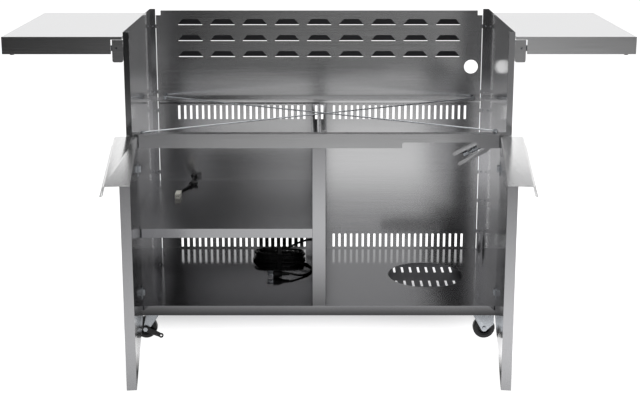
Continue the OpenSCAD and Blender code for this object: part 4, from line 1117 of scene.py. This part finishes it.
@dataclass
class SupplyLead:
    """Short lead from the back panel's gland through its branch to the white connector."""

    diameter: float = 0.006

    def build(self, finishes: Finishes) -> None:
        """The moulded branch sits over its short straight part.

        Args:
            finishes: The cart's finishes.
        """
        rear, front = Vector((-0.405, 0.488, 0.354)), Vector((-0.409, 0.460, 0.354))
        along = (rear - front).normalized() * self.diameter
        points = smooth_path(
            [
                (-0.405, 0.5188, 0.361), (-0.405, 0.5158, 0.361), (-0.405, 0.5128, 0.361), (-0.4047, 0.5035, 0.3575),
                rear + along, rear + along / 2, rear, front, front - along / 2, front - along,
                (-0.413, 0.442, 0.3511), (-0.418, 0.428, 0.350), (-0.424, 0.412, 0.350), (-0.429, 0.398, 0.350),
                (-0.432, 0.384, 0.3515), (-0.4337, 0.372, 0.3537), (-0.434, 0.362, 0.354), (-0.434, 0.359, 0.354),
                (-0.434, 0.356, 0.354),
            ],
            ROUTE_STEPS,
        )
        cord = cord_piece("supply_lead_jacket", points, self.diameter, finishes.jacket)
        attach(cord, "root")
        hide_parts("supply_lead")
        report(cord)


def fasteners() -> list[Fasteners]:
    """Lists the back panels' screws and the casters' bolts.

    Returns:
        The kinds of fasteners.
    """
    screw_x, screw_heights = 0.5245, (0.175, 0.279, 0.375, 0.578, 0.639, 0.849)
    bolt_x, bolt_y, bolt_height = 0.028, 0.022, 0.0855
    screws = tuple((side * screw_x, DEPTH, z) for side in (-1, 1) for z in screw_heights)
    bolts = tuple(
        (side * PLATE_X + across * bolt_x, deep + along * bolt_y, bolt_height)
        for side in (-1, 1)
        for deep in CASTER_DEPTHS
        for across in (-1, 1)
        for along in (-1, 1)
    )
    return [
        Fasteners(
            "panel_screws", "back_panel_screws", screws, turn=(-math.pi / 2, 0.0, 0.0),
            head_r=0.004, crown_r=0.0026, head_h=0.0022, sides=20, shank_r=0.002, shank=(-0.007, 0.001),
        ),
        Fasteners(
            "caster_bolt_set", "caster_bolts", bolts, turn=(math.pi, 0.0, 0.0),
            head_r=0.0062, crown_r=0.0058, head_h=0.0045, sides=6, shank_r=0.0035, shank=(-0.0095, 0.001),
            nut=(-0.0085, -0.0045),
        ),
    ]


def wheels() -> list[CasterWheel]:
    """Lists the four wheels.

    Returns:
        The wheels, front pair first.
    """
    return [
        CasterWheel(f"{end}_{side}_wheel", (x, y, WHEEL_RADIUS))
        for end, y in zip(("front", "rear"), CASTER_DEPTHS)
        for side, x in (("left", SWIVELLED_X), ("right", PLATE_X))
    ]


def sheet_metal(finishes: Finishes) -> dict[bpy.types.Material, list[str]]:
    """Says which finish each sheet or metal node has.

    Args:
        finishes: The cart's finishes.

    Returns:
        The nodes of each finish.
    """
    return {
        finishes.wall: ["left_side_panel", "right_side_panel", "divider_panel"],
        finishes.mirror: ["floor_panel"],
        finishes.dull: ["tank_pan"],
        finishes.vented: ["lower_back_panel", "upper_back_panel"],
        finishes.face: [
            "front_rail", "left_shelf_stiffener", "right_shelf_stiffener", "left_shelf_brackets",
            "right_shelf_brackets", "fork_bracket",
        ],
        finishes.deep: [
            "left_base_channel", "right_base_channel", "interior_shelf", "centre_mullion", "left_door_skin",
            "right_door_skin",
        ],
        finishes.liner: ["left_door_liner", "right_door_liner"],
        finishes.bright: ["rear_rail"],
        finishes.ledge: ["left_door_handle", "right_door_handle"],
        finishes.top: ["left_side_shelf", "right_side_shelf"],
        finishes.rod: ["lower_cross_rod", "upper_cross_rod"],
        finishes.nickel: [
            "left_hinge_arms", "right_hinge_arms", "left_door_hinges", "right_door_hinges", "left_shelf_hinges",
            "right_shelf_hinges",
        ],
        finishes.zinc: [
            "cross_rod_bolts", "fork_bolt", "swivel_caster_plates", "rigid_caster_frames", "front_left_fork",
            "rear_left_fork",
        ],
    }


def dress_nodes(finishes: Finishes) -> None:
    """Puts a finished copy in the place of each remaining node, and dresses the nodes that are kept as they are.

    Args:
        finishes: The cart's finishes.
    """
    perforated = ("upper_back_panel", "lower_back_panel", "tank_pan")
    for material, nodes in sheet_metal(finishes).items():
        for name in nodes:
            sheet = softened(name, material, 0.0 if name in perforated else SHEET_EDGE)
            if name == "upper_back_panel":
                shade_hoods(sheet, finishes.hood)
            report(sheet)
    moulded = {
        finishes.rubber: ["left_shelf_bumpers", "right_shelf_bumpers"],
        finishes.moulding: ["door_magnets", "front_left_pedal", "rear_left_pedal"],
    }
    for material, nodes in moulded.items():
        for name in nodes:
            report(softened(name, material, MOULDED_EDGE))
    for material, name in (
        (finishes.rubber, "hank_tie"), (finishes.moulding, "supply_splitter"), (finishes.nylon, "supply_connector")
    ):
        data = frame["nodes"][name].data
        data.materials.clear()
        data.materials.append(material)


def main() -> None:
    """Builds the scene and reports each piece."""
    logging.basicConfig(level=logging.INFO, format="%(name)s: %(message)s")
    finishes = Finishes()
    Studio().build()
    MainsLead().build(finishes)
    SupplyLead().build(finishes)
    Glands().build(finishes)
    for wheel in wheels():
        wheel.build(finishes)
    for kind in fasteners():
        kind.build(finishes)
    dress_nodes(finishes)


if __name__ == "__main__":
    main()
